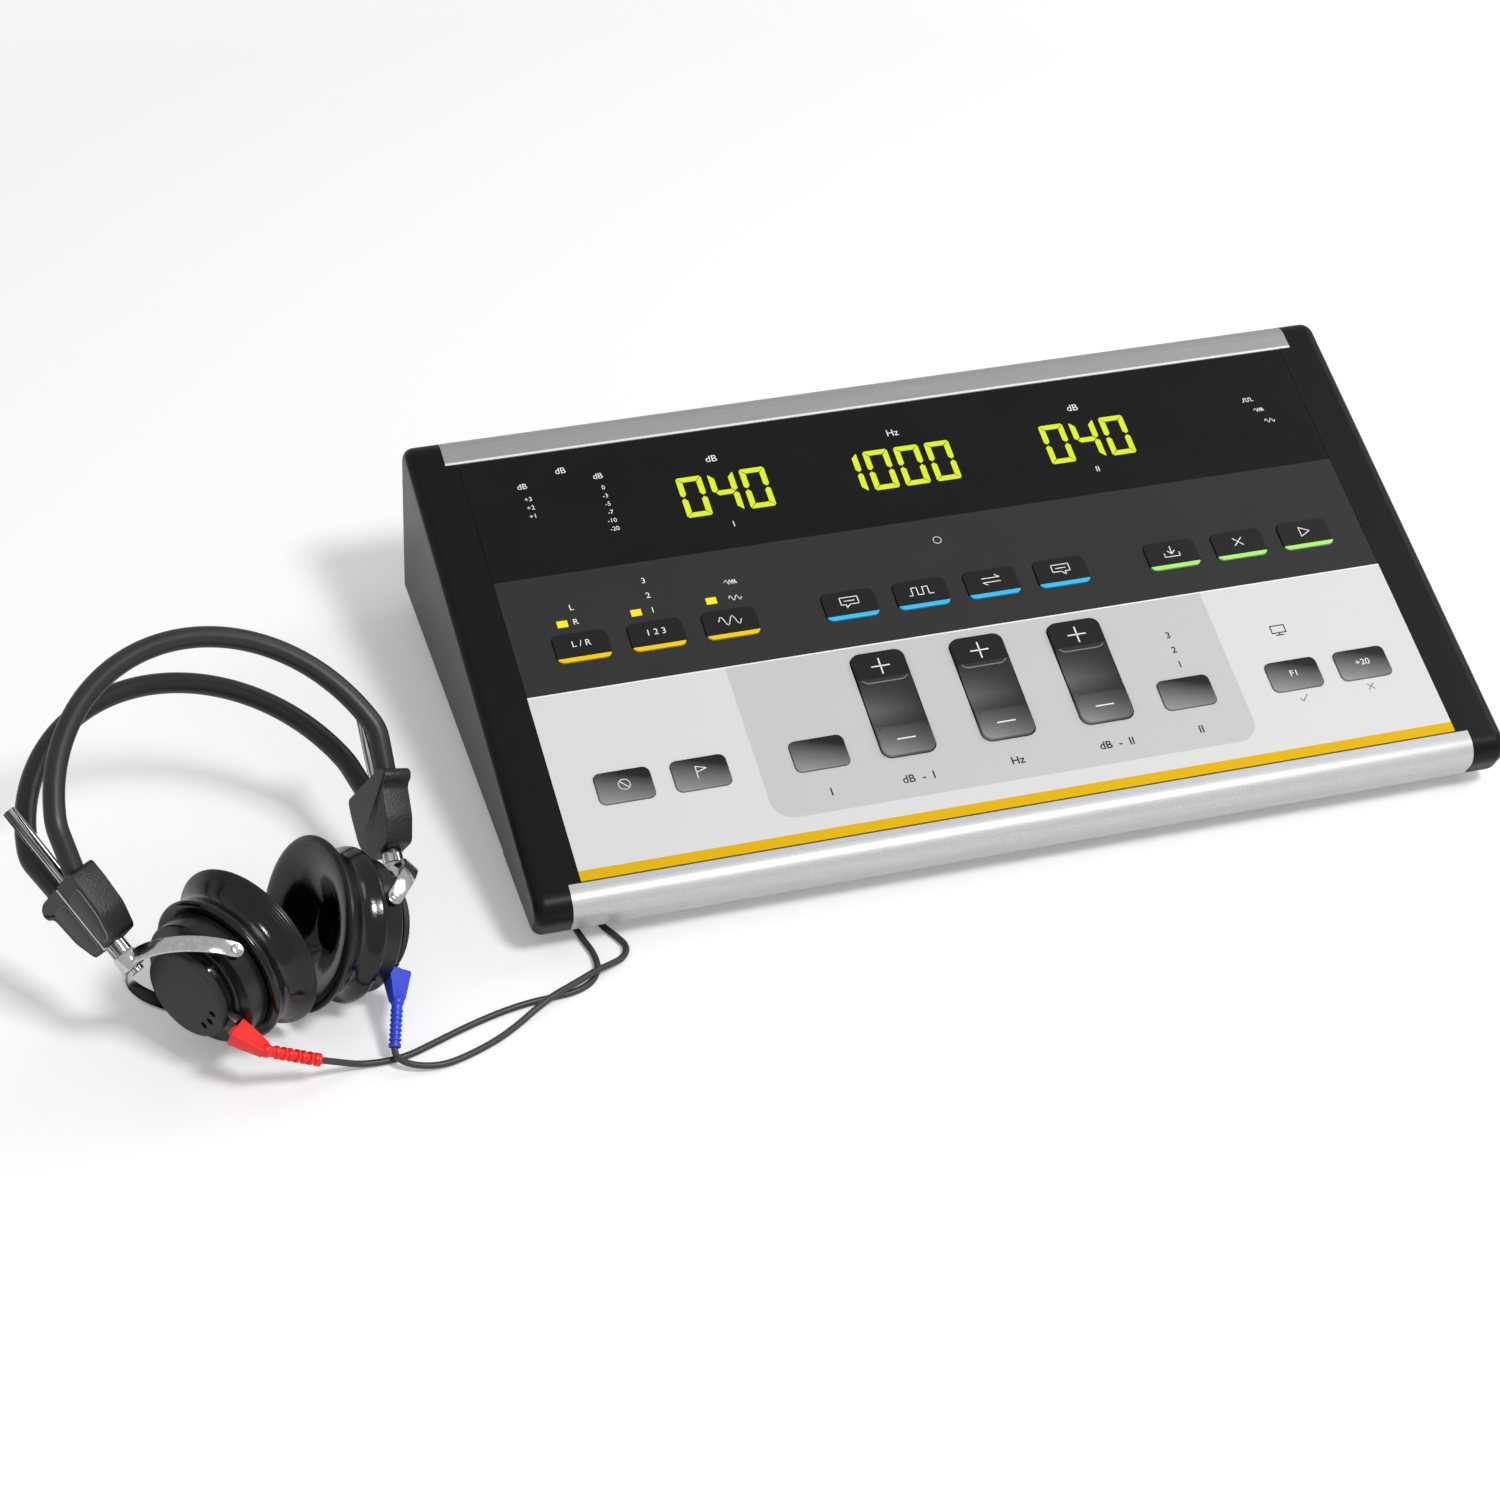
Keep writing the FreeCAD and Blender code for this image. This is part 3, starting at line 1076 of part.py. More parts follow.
# Clamps, rods and yokes: the same on both sides, turned half round the crown.
def clamp(side, frame):
    """Tapered block on the legs of both bands, bored and slotted for the rod."""
    body = new_body(f"clamp_{side}_block", frame)
    outline = new_sketch(body, f"clamp_{side}_outline", "YZ_Plane",
                         z="(size.clamp_inner - size.clamp_outer) / 2")
    shoulder = "(size.clamp_top - size.tab_drop)"
    waist = "(size.clamp_bottom + size.clamp_waist)"
    polygon(outline, (
        ("-size.clamp_foot_half", "size.clamp_bottom"),
        ("size.clamp_foot_half", "size.clamp_bottom"),
        ("size.clamp_half - size.clamp_taper", waist),
        ("size.clamp_half", f"{shoulder} - size.clamp_taper"),
        ("size.clamp_half + size.tab_reach", shoulder),
        ("size.clamp_half + size.tab_reach", "size.clamp_top - size.clamp_taper"),
        ("size.clamp_half", "size.clamp_top"),
        ("-size.clamp_half", "size.clamp_top"),
        ("-size.clamp_half", shoulder),
        ("-size.clamp_half + size.clamp_taper", waist),
    ))
    pad(body, outline, "size.clamp_inner + size.clamp_outer", midplane=True)
    height = "size.clamp_top - size.clamp_bottom + 2 * size.cut_margin"
    foot = "size.clamp_bottom - size.cut_margin"
    bore = post(f"clamp_{side}_bore", frame, ("0", "0", foot),
                "size.rod_radius + size.rod_clearance", height)
    slot = block(f"clamp_{side}_slot", frame,
                 ("-(size.clamp_outer + size.cut_margin) / 2", "0", foot),
                 ("size.clamp_outer + size.cut_margin", "size.slot_width", height))
    sub_part(f"clamp_{side}", cut(f"clamp_{side}", body, bands + [bore, slot]))


def rod(side, frame):
    """Grooved rod with a collar, a swivel pin and the pin's rivet head."""
    hub_foot = "(size.collar_bottom - 2 * size.swivel_gap - size.hub_height)"
    solid = fuse(f"rod_{side}_solid", [
        post(f"rod_{side}_shaft", frame, ("0", "0", "size.collar_bottom"), "size.rod_radius",
             "size.rod_top - size.collar_bottom"),
        post(f"rod_{side}_collar", frame, ("0", "0", "size.collar_bottom"),
             "size.collar_radius", "size.collar_top - size.collar_bottom"),
        post(f"rod_{side}_pin", frame, ("0", "0", hub_foot), "size.swivel_radius",
             f"size.collar_bottom - {hub_foot}"),
        post(f"rod_{side}_rivet", frame, ("0", "0", f"{hub_foot} - size.swivel_head_height"),
             "size.swivel_head", "size.swivel_head_height"),
    ])
    groove = block(f"rod_{side}_groove", frame,
                   ("-size.rod_radius", "0", "size.collar_top + size.groove_width"),
                   ("2 * size.groove_depth", "size.groove_width", "size.rod_top"))
    sub_part(f"rod_{side}", cut(f"rod_{side}", solid, [groove]))


HUB_TOP = "(size.collar_bottom - size.swivel_gap)"
HUB_MIDDLE = f"({HUB_TOP} - size.hub_height / 2)"
BOW_RISE = f"(size.pivot_drop + {HUB_MIDDLE})"
BOW_ANGLE = f"atan(size.pivot_x / {BOW_RISE})"
BOW_REACH = f"sqrt(size.pivot_x ^ 2 + {BOW_RISE} ^ 2)"


def yoke(side, frame):
    """Flat strip bowed round the earphone, from a hub on the rod to both pivots."""
    plane = chain(frame, step("size.pivot_x", "0", "-size.pivot_drop"),
                  turn(ABOUT_Y, f"-{BOW_ANGLE}"))
    centre_z = f"({BOW_REACH} - size.yoke_radius)"
    across = chain(plane, step(z=centre_z), turn(ABOUT_Y, "90"))
    inner = "(size.yoke_radius - size.strip_thickness / 2)"
    outer = "(size.yoke_radius + size.strip_thickness / 2)"
    ring = cut(f"yoke_{side}_ring",
               post(f"yoke_{side}_outer", across, ("0", "0", "-size.strip_width / 2"), outer,
                    "size.strip_width"),
               [post(f"yoke_{side}_inner", across, ("0", "0", "-size.strip_width"), inner,
                     "2 * size.strip_width")])
    bow = common(f"yoke_{side}_bow", ring,
                 block(f"yoke_{side}_half", plane, ("0", "0", centre_z),
                       ("2 * size.strip_width", f"3 * {outer}", f"2 * {outer}")))
    arms = [block(f"yoke_{side}_arm", plane, ("0", f"{sign} * size.yoke_radius",
                                              "-size.strip_tail"),
                  ("size.strip_width", "size.strip_thickness",
                   f"{centre_z} + size.strip_tail"))
            for sign in (-1, 1)]
    hub = post(f"yoke_{side}_hub", frame, ("0", "0", f"{HUB_TOP} - size.hub_height"),
               "size.hub_radius", "size.hub_height")
    hub_bore = post(f"yoke_{side}_bore", frame,
                    ("0", "0", f"{HUB_TOP} - size.hub_height - 3 * size.cut_margin"),
                    "size.swivel_radius + size.pin_clearance",
                    "size.hub_height + 4 * size.cut_margin")
    along = chain(plane, turn(ABOUT_X, "90"))
    pivot_bore = post(f"yoke_{side}_pivot", along, ("0", "0", f"-{outer} - size.cut_margin"),
                      "size.pivot_screw + size.pin_clearance", f"2 * ({outer} + size.cut_margin)")
    sub_part(f"yoke_{side}", cut(f"yoke_{side}", fuse(f"yoke_{side}_solid", [bow, hub] + arms),
                                 [hub_bore, pivot_bore]))


# Earphones: case and rear cap turned round the ear axis, two pivot screws, and a
# cord outlet. The cushion is a turned ring with a deep dish.
def turned(name, frame, corners):
    """A body turned round the frame's x axis from (x, radius) corners."""
    body = new_body(name, frame)
    sketch = new_sketch(body, name + "_section", "XZ_Plane")
    polygon(sketch, corners)
    revolve(body, sketch)
    return body


def earphone(side, frame, outlet_turn):
    """Case, cap and pivot screws as separate solids of one piece."""
    case_body = turned(f"earphone_{side}_case", frame, (
        ("-size.case_back", "0"),
        ("-size.case_back", "size.case_neck"),
        ("-size.case_back + size.neck_length", "size.case_neck"),
        ("-size.shoulder_back", "size.case_shoulder"),
        ("-size.flange_back - size.flange_chamfer", "size.case_shoulder"),
        ("-size.flange_back", "size.case_flange"),
        ("size.case_front", "size.case_flange"),
        ("size.case_front", "0"),
    ))
    outlet = block(f"earphone_{side}_outlet", chain(frame, turn(ABOUT_X, outlet_turn)),
                   ("-size.outlet_x", "0", "0"),
                   ("size.outlet_width", "size.outlet_breadth", "size.outlet_reach"))
    cap = turned(f"earphone_{side}_cap", frame, (
        ("-size.case_back - size.cap_height", "0"),
        ("-size.case_back - size.cap_height", "size.cap_radius - size.cap_bevel"),
        ("-size.case_back - size.cap_height + size.cap_bevel", "size.cap_radius"),
        ("-size.case_back", "size.cap_radius"),
        ("-size.case_back", "0"),
    ))
    screws, holes = [], []
    for number, angle in enumerate(("90", "-90")):
        along = chain(frame, turn(ABOUT_X, angle))
        foot = "(size.case_flange - size.screw_reach)"
        head = "(size.yoke_radius + size.strip_thickness / 2 + size.seat_gap)"
        screws.append(fuse(f"pivot_screw_{side}_{number}", [
            post("pivot_shank", along, ("0", "0", foot), "size.pivot_screw", f"{head} - {foot}"),
            post("pivot_head", along, ("0", "0", head), "size.pivot_head",
                 "size.pivot_head_height"),
        ]))
        holes.append(post("pivot_hole", along, ("0", "0", foot), "size.pivot_screw",
                          "size.screw_reach + size.cut_margin"))
    case = cut(f"earphone_{side}_body", fuse(f"earphone_{side}_solid", [case_body, outlet]), holes)
    sub_part(f"earphone_{side}", together(f"earphone_{side}", [case, cap] + screws))
    face = "(size.case_front + size.cushion_height)"
    sub_part(f"cushion_{side}", turned(f"cushion_{side}", frame, (
        ("size.case_front", "size.cushion_hole"),
        ("size.case_front", "size.cushion_collar"),
        ("size.case_front + size.collar_length", "size.cushion_collar"),
        ("size.case_front + size.waist_start", "size.cushion_waist"),
        ("size.case_front + size.waist_end", "size.cushion_waist"),
        ("size.case_front + size.lip_start", "size.cushion_radius"),
        (f"{face} - size.lip_end", "size.cushion_radius"),
        (f"{face} - size.lip_corner", "size.cushion_radius - size.lip_bevel"),
        (face, "size.cushion_crest"),
        (f"{face} - size.mouth_depth", "size.cushion_mouth"),
        ("size.case_front + size.collar_length", "size.cushion_hole"),
    )))


def boot(colour, frame):
    """Flat tapered grip on the cord outlet, then a thinner sleeve at an angle."""
    outlet = chain(frame, turn(ABOUT_X, f"size.{colour}_outlet_turn"),
                   step("-size.boot_x", "0", "size.outlet_reach"))
    grip = chain(outlet, step(z=f"size.{colour}_grip_lift"),
                 turn(ABOUT_Y, f"size.{colour}_grip_lean"))
    knee = chain(grip, step(z="size.grip_length"))
    sleeve = chain(knee, turn(ABOUT_X, f"size.{colour}_sleeve_turn"),
                   turn(ABOUT_Y, f"size.{colour}_sleeve_lean"))
    wide, deep, neck = "size.grip_width / 2", "size.grip_breadth / 2", "size.grip_neck"
    sub_part(f"boot_{colour}", fuse(f"boot_{colour}", [
        post(f"boot_{colour}_stub", outlet, ("0", "0", "0"), "size.stub_radius",
             "size.grip_length / 2"),
        primitive("Wedge", f"boot_{colour}_grip", chain(grip, turn(ABOUT_X, "90")),
                  Xmin=f"-({wide})", Xmax=wide, Zmin=f"-({deep})", Zmax=deep,
                  X2min=f"-{neck}", X2max=neck, Z2min=f"-{neck}", Z2max=neck,
                  Ymin="0", Ymax="size.grip_length"),
        primitive("Sphere", f"boot_{colour}_knee", knee, Radius=neck),
        post(f"boot_{colour}_sleeve", sleeve, ("0", "0", "0"), "size.sleeve_radius",
             f"size.{colour}_sleeve_length"),
    ]))


for side, colour in (("left", "red"), ("right", "blue")):
    side_frame = SIDES[side]
    clamp(side, side_frame)
    rod(side, side_frame)
    yoke_frame = chain(side_frame, turn(ABOUT_Z, f"size.{side}_swivel"))
    yoke(side, yoke_frame)
    ear_frame = chain(yoke_frame, step("size.pivot_x", "0", "-size.pivot_drop"),
                      turn(ABOUT_Y, f"-size.{side}_tilt"))
    earphone(side, ear_frame, f"size.{colour}_outlet_turn")
    boot(colour, ear_frame)

# Cords: chosen points in the console's own frame, from boot to coil. The blue cord
# passes over the red one near the boots, and both run under the console.
CORD_ROUTES = {
    "cord_red": (
        (-293.9, -50.8, 11.8), (-287.0, -49.0, 7.2), (-279.2, -46.6, 2.2), (-269.5, -46.3, 1.4),
        (-258.0, -45.0, 1.4), (-241.5, -38.6, 1.4), (-224.0, -33.0, 1.4), (-206.0, -27.8, 1.4),
        (-191.5, -22.6, 1.4), (-183.2, -13.6, 1.4), (-182.0, 0.0, 1.4), (-184.5, 24.0, 1.4),
        (-183.5, 68.0, 1.4), (-186.0, 118.0, 1.4), (-184.0, 168.0, 1.4), (-186.5, 212.0, 1.4),
        (-184.0, 246.0, 1.6), (-171.0, 268.0, 2.6), (-151.0, 276.0, 4.0), (-141.5, 276.6, 4.4),
    ),
    "cord_blue": (
        (-272.5, -42.1, 4.3), (-269.6, -46.5, 4.3), (-264.8, -50.6, 4.3), (-252.5, -53.8, 2.3),
        (-240.5, -50.2, 1.4), (-228.5, -43.0, 1.4), (-211.0, -35.2, 1.4), (-193.0, -29.0, 1.4),
        (-178.0, -20.6, 1.4), (-170.4, -9.0, 1.4), (-171.2, 8.0, 1.4), (-174.5, 38.0, 1.4),
        (-173.5, 84.0, 1.4), (-175.5, 130.0, 1.4), (-173.5, 172.0, 1.4), (-163.0, 201.0, 1.4),
        (-141.0, 212.0, 1.4), (-112.0, 213.0, 1.4), (-88.0, 221.5, 1.6), (-77.6, 238.0, 2.6),
        (-77.0, 252.5, 4.4),
    ),
}
# The cord's other end climbs from the coil's outer turn to the plug's underside.
TAIL_ROUTE = ((0, 0, 0), (0, 0.4, -8.0), (0, 4.2, -14.6), (0, 12.0, -18.4), (0, 21.0, -19.0),
              (0, 29.5, -18.6))
CORD_SHARE = 0.45
PLUG_Y = f"({PANEL_OUT} + size.jack_nut_height + size.plug_gap)"
for colour, coil_x, jack_number in (("red", "size.red_coil_x", 0), ("blue", "size.blue_coil_x", 2)):
    radii = []
    lead = [Vector(*spot) for spot in CORD_ROUTES[f"cord_{colour}"]]
    plug_x = jack_spots[jack_number]
    plug_foot = Vector(value(plug_x), value(f"{PLUG_Y} + size.plug_thickness / 2"),
                       value("size.jack_z - size.plug_below"))
    tail = [plug_foot + Vector(*spot) for spot in TAIL_ROUTE]
    cord_shapes = [tube(route_edges(route, CORD_SHARE, radii), value("size.cord_radius"))
                   for route in (lead, tail)]
    computed(f"cord_{colour}", CASE, Part.makeCompound(cord_shapes))
    print(f"cord_{colour} bend radii:", " ".join(f"{radius:.1f}" for radius in radii))
    coil_foot = (coil_x, "size.coil_y", "0")
    sub_part(f"coil_{colour}", cut(
        f"coil_{colour}",
        post(f"coil_{colour}_disc", CASE, coil_foot, "size.coil_outer", "size.coil_height"),
        [post(f"coil_{colour}_hole", CASE, (coil_x, "size.coil_y", "-size.cut_margin"),
              "size.coil_inner", "size.coil_height + 2 * size.cut_margin")]))
    plug_frame = rearward(plug_x, PLUG_Y, "size.jack_z")
    sub_part(f"plug_{colour}", fuse(f"plug_{colour}", [
        post(f"plug_{colour}_shaft", plug_frame, ("0", "0", "-size.plug_shaft_length"),
             "size.plug_shaft", "size.plug_shaft_length + size.cut_margin"),
        block(f"plug_{colour}_body", plug_frame,
              ("0", "(size.plug_below - size.plug_above) / 2", "0"),
              ("size.plug_width", "size.plug_above + size.plug_below",
               "size.plug_thickness")),
    ]))

doc.recompute()
for item in doc.Objects:
    if "Invalid" in item.State or "Error" in item.State:
        raise ValueError(f"{item.Label} didn't compute: {item.State}")
for piece in sub_parts:
    if piece.Shape.isNull() or not piece.Shape.isValid():
        raise ValueError(f"{piece.Label} has no valid shape")

os.makedirs("parts", exist_ok=True)
for piece in sub_parts:
    piece.Shape.exportStep(f"parts/{piece.Label}.step")
print(len(sub_parts), "pieces written")
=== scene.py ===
"""Desk audiometer with its headset: finishes, soft parts and small details.

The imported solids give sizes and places. This script paints those whose shape is right,
and models anew what needs finer form. Its frame: metres, Z up, +Y to the back of the
console, +X to the operator's right.
"""
import json
import math

import bmesh
import bpy
from mathutils import Matrix, Vector


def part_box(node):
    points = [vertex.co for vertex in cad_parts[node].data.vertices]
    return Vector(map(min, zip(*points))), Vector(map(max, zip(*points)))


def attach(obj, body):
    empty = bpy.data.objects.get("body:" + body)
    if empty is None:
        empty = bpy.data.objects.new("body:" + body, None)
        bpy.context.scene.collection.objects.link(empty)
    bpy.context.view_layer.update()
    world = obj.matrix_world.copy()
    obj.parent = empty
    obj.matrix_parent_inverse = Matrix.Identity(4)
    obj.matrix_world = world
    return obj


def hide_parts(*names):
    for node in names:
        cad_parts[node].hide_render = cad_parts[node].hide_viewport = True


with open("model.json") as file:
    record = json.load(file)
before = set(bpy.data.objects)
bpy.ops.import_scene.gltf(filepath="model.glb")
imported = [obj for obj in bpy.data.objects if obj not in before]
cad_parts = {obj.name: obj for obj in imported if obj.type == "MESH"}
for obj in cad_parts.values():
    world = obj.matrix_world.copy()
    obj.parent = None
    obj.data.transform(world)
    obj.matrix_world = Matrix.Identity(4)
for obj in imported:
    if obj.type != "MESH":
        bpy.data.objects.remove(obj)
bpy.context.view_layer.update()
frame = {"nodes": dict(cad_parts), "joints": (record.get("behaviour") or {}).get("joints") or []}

# ---------------------------------------------------------------- Camera
# A long lens from the front left and above: it looks down on the sloping panel by
# about forty degrees.
VIEW_RIGHT = Vector((0.955364, -0.291705, 0.046770))
VIEW_DOWN = Vector((-0.157474, -0.636764, -0.754807))
VIEW_FORWARD = Vector((0.249962, 0.713751, -0.654277))
VIEW_FROM = Vector((-0.356508, -1.035618, 0.951418))
LENS_LENGTH, SENSOR_WIDTH = 85.34, 36

camera_data = bpy.data.cameras.new("camera")
camera_data.lens = LENS_LENGTH
camera_data.sensor_width = SENSOR_WIDTH
camera = bpy.data.objects.new("camera", camera_data)
camera.matrix_world = (Matrix.Translation(VIEW_FROM)
                       @ Matrix((VIEW_RIGHT, -VIEW_DOWN, -VIEW_FORWARD)).transposed().to_4x4())
bpy.context.collection.objects.link(camera)
bpy.context.scene.camera = camera

# ---------------------------------------------------------------- Cords
# Two thin dark cords, one to each earphone, from a coloured boot to a right-angled
# plug. They cross in front of the console and pass under it, and their spare length
# is wound into a neat round coil behind it. Soft PVC over stranded copper.
MILLIMETRE = Matrix.Scale(0.001, 4)
CORD_RADIUS = 0.0013
# The console's place, from which every route is measured, then boot to coil.
CONSOLE = Vector((0.09405, -0.08715, 0))
CORD_ROUTES = {
    "red": (
        (-0.2939, -0.0508, 0.0118), (-0.2870, -0.0490, 0.0072), (-0.2792, -0.0472, 0.0022),
        (-0.2700, -0.0474, 0.0014), (-0.2610, -0.0466, 0.0014), (-0.2517, -0.0432, 0.0014),
        (-0.2378, -0.0378, 0.0014), (-0.2240, -0.0334, 0.0014), (-0.2116, -0.0308, 0.0014),
        (-0.2014, -0.0302, 0.0014), (-0.1925, -0.0296, 0.0014), (-0.1848, -0.0262, 0.0014),
        (-0.1806, -0.0195, 0.0014), (-0.1802, -0.0110, 0.0014), (-0.1826, -0.0020, 0.0014),
        (-0.1845, 0.0100, 0.0014), (-0.1845, 0.0240, 0.0014), (-0.1835, 0.0680, 0.0014),
        (-0.1860, 0.1180, 0.0014), (-0.1840, 0.1680, 0.0014), (-0.1865, 0.2120, 0.0014),
        (-0.1840, 0.2460, 0.0016), (-0.1710, 0.2680, 0.0026), (-0.1510, 0.2760, 0.0040),
        (-0.1415, 0.2775, 0.0042),
    ),
    "blue": (
        (-0.2656, -0.0456, 0.0065), (-0.2662, -0.0482, 0.0051), (-0.2640, -0.0517, 0.0042),
        (-0.2582, -0.0541, 0.0029), (-0.2490, -0.0546, 0.0016), (-0.2395, -0.0520, 0.0014),
        (-0.2272, -0.0470, 0.0014), (-0.2173, -0.0412, 0.0018), (-0.2085, -0.0359, 0.0036),
        (-0.2015, -0.0323, 0.0047), (-0.1929, -0.0282, 0.0043), (-0.1830, -0.0236, 0.0047),
        (-0.1756, -0.0202, 0.0034), (-0.1696, -0.0164, 0.0018), (-0.1668, -0.0104, 0.0014),
        (-0.1696, -0.0040, 0.0014), (-0.1740, 0.0040, 0.0014), (-0.1756, 0.0150, 0.0014),
        (-0.1745, 0.0380, 0.0014), (-0.1735, 0.0840, 0.0014), (-0.1755, 0.1300, 0.0014),
        (-0.1735, 0.1720, 0.0014), (-0.1630, 0.2010, 0.0014), (-0.1410, 0.2120, 0.0014),
        (-0.1120, 0.2130, 0.0014), (-0.0880, 0.2215, 0.0016), (-0.0776, 0.2380, 0.0026),
        (-0.0762, 0.2490, 0.0042),
    ),
}
# From the coil to the underside of the plug.
CORD_TAILS = {
    "red": (
        (-0.1405, 0.2432, 0.0018), (-0.1466, 0.2403, 0.0026), (-0.1498, 0.2346, 0.0044),
        (-0.1500, 0.2270, 0.0082), (-0.1500, 0.2224, 0.0150), (-0.1500, 0.2220, 0.0230),
    ),
    "blue": (
        (-0.1059, 0.2504, 0.0019), (-0.1050, 0.2430, 0.0030), (-0.1050, 0.2340, 0.0046),
        (-0.1050, 0.2262, 0.0084), (-0.1050, 0.2224, 0.0150), (-0.1050, 0.2220, 0.0230),
    ),
}
# Each coil: its middle, the angle at which the cord joins it, and the angle wound.
COILS = {"red": ((-0.136, 0.262), 82, -4842), "blue": ((-0.091, 0.262), -20, 4900)}
# Where each turn lies in the coil: column from the inside, row from the table.
WINDING = ((2, 1), (2, 2), (2, 3), (2, 4), (1, 4), (0, 4), (0, 3), (1, 3), (1, 2), (0, 2),
           (0, 1), (1, 1), (1, 0), (2, 0), (2, 0))
COIL_INNER_TURN, TURN_PITCH = 0.0114, 0.0026
# The lowest turn's height in pitches, and the share of a turn before it moves over.
LOWEST_TURN, SHIFT_FROM = 0.54, 0.7
POINTS_PER_TURN = 12
# A spline of order 3 runs this far inside control points set round a circle.
CHORD_SHARE = (3 + math.cos(2 * math.pi / POINTS_PER_TURN)) / 4
SIDES = {"red": "left", "blue": "right"}


def coil_points(colour):
    """Control points of a coil's turns, each turn beside or on the last."""
    (middle_x, middle_y), first_angle, wound = COILS[colour]
    count = math.ceil(abs(wound) / 360 * POINTS_PER_TURN)
    points = []
    for number in range(count + 1):
        turn, share = divmod(number * abs(wound) / 360 / count, 1)
        (column, row), (next_column, next_row) = WINDING[int(turn)], WINDING[int(turn) + 1]
        shift = max(0.0, (share - SHIFT_FROM) / (1 - SHIFT_FROM))
        shift = shift * shift * (3 - 2 * shift)
        radius = COIL_INNER_TURN + TURN_PITCH * (column + shift * (next_column - column))
        height = TURN_PITCH * (LOWEST_TURN + row + shift * (next_row - row))
        angle = math.radians(first_angle + wound * number / count)
        points.append((middle_x + radius / CHORD_SHARE * math.cos(angle),
                       middle_y + radius / CHORD_SHARE * math.sin(angle), height))
    return points


def cord_curve(colour):
    """One cord from boot to plug, as a single open spline."""
    data = bpy.data.curves.new(f"cord_{colour}", "CURVE")
    data.dimensions = "3D"
    data.bevel_depth = 1
    data.bevel_resolution = 3
    data.resolution_u = 6
    data.use_fill_caps = True
    points = [*CORD_ROUTES[colour], *coil_points(colour), *CORD_TAILS[colour]]
    spline = data.splines.new("NURBS")
    spline.points.add(len(points) - 1)
    for spot, point in zip(spline.points, points):
        spot.co = (*(Vector(point) + CONSOLE), 1)
        spot.radius = CORD_RADIUS
    spline.order_u = 3
    spline.use_endpoint_u = True
    cord = bpy.data.objects.new(f"lead_{colour}", data)
    bpy.context.collection.objects.link(cord)
    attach(cord, "console")
    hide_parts(f"cord_{colour}", f"coil_{colour}")
    return cord


cords = {colour: cord_curve(colour) for colour in SIDES}


class Wire:
    """A number inside a material, so that sums on it read as plain sums."""

    def __init__(self, tree, socket):
        self.tree, self.socket = tree, socket

    def work(self, operation, *terms):
        """A Math node on terms that are wires or plain numbers."""
        node = self.tree.nodes.new("ShaderNodeMath")
        node.operation = operation
        for socket, term in zip(node.inputs, terms):
            if isinstance(term, Wire):
                self.tree.links.new(term.socket, socket)
            else:
                socket.default_value = term
        return Wire(self.tree, node.outputs[0])

    def __add__(self, other):
        return self.work("ADD", self, other)

    def __sub__(self, other):
        return self.work("SUBTRACT", self, other)

    def __rsub__(self, other):
        return self.work("SUBTRACT", other, self)

    def __mul__(self, other):
        return self.work("MULTIPLY", self, other)

    def __truediv__(self, other):
        return self.work("DIVIDE", self, other)

    def __pow__(self, other):
        return self.work("POWER", self, other)

    def __lt__(self, other):
        return self.work("LESS_THAN", self, other)

    def __gt__(self, other):
        return self.work("GREATER_THAN", self, other)

    def __abs__(self):
        return self.work("ABSOLUTE", self)

    __radd__ = __add__
    __rmul__ = __mul__

    def at_least(self, other):
        return self.work("MAXIMUM", self, other)

    def at_most(self, other):
        return self.work("MINIMUM", self, other)

    def held(self):
        """Kept from 0 to 1."""
        return self.at_least(0).at_most(1)

    def within(self, low, high):
        """1 between two values, 0 elsewhere."""
        return (self > low) * (self < high)

    def sine(self):
        return self.work("SINE", self)


class Look:
    """One material: a skin with its plain settings, and the nodes that vary it."""

    def __init__(self, name, **plain):
        self.material = bpy.data.materials.new(name)
        self.material.use_nodes = True
        self.tree = self.material.node_tree
        self.skin = self.tree.nodes["Principled BSDF"]
        for socket, setting in plain.items():
            self.feed(socket.replace("_", " "), setting)

    def join(self, value, socket):
        if isinstance(value, Wire):
            self.tree.links.new(value.socket, socket)
        else:
            socket.default_value = value

    def feed(self, socket, value):
        self.join(value, self.skin.inputs[socket])

    def node(self, kind, settings=(), values=(), out=0):
        """Any other node: its settings first, then its sockets."""
        node = self.tree.nodes.new("ShaderNode" + kind)
        for name, setting in dict(settings).items():
            setattr(node, name, setting)
        for socket, value in dict(values).items():
            self.join(value, node.inputs[socket])
        return Wire(self.tree, node.outputs[out])

    def spot(self, place=MILLIMETRE):
        """The point on the surface, in millimetres along the axes of a frame."""
        spot = self.node("TexCoord", out="Object")
        return self.node("Mapping", {"vector_type": "TEXTURE"}, {
            "Vector": spot, "Location": place.to_translation(),
            "Rotation": place.to_euler(), "Scale": place.to_scale()})

    def axes(self, spot):
        """The three numbers of a point."""
        node = self.node("SeparateXYZ", (), {0: spot}).socket.node
        return [Wire(self.tree, socket) for socket in node.outputs]

    def noise(self, spot, scale, detail=2.0, stretch=None):
        if stretch:
            spot = self.node("Mapping", (), {"Vector": spot, "Scale": stretch})
        return self.node("TexNoise", (), {"Vector": spot, "Scale": scale, "Detail": detail})

    def mix(self, share, first, second):
        """One colour into another."""
        return self.node("Mix", {"data_type": "RGBA"}, {0: share, 6: first, 7: second}, out=2)

    def relief(self, height, depth):
        """Bumps the surface by a height from 0 to 1 over a depth in metres."""
        self.feed("Normal", self.node("Bump", (), {"Height": height, "Distance": depth}))


def ink(red, green, blue):
    """A colour as it looks on a screen, as the light that it is."""
    return (*((part / 12.92 if part <= 0.04045 else ((part + 0.055) / 1.055) ** 2.4)
              for part in (red / 255, green / 255, blue / 255)), 1)


def shade(tone, share):
    """A colour made lighter or darker by a share."""
    return (*(part * share for part in tone[:3]), 1)


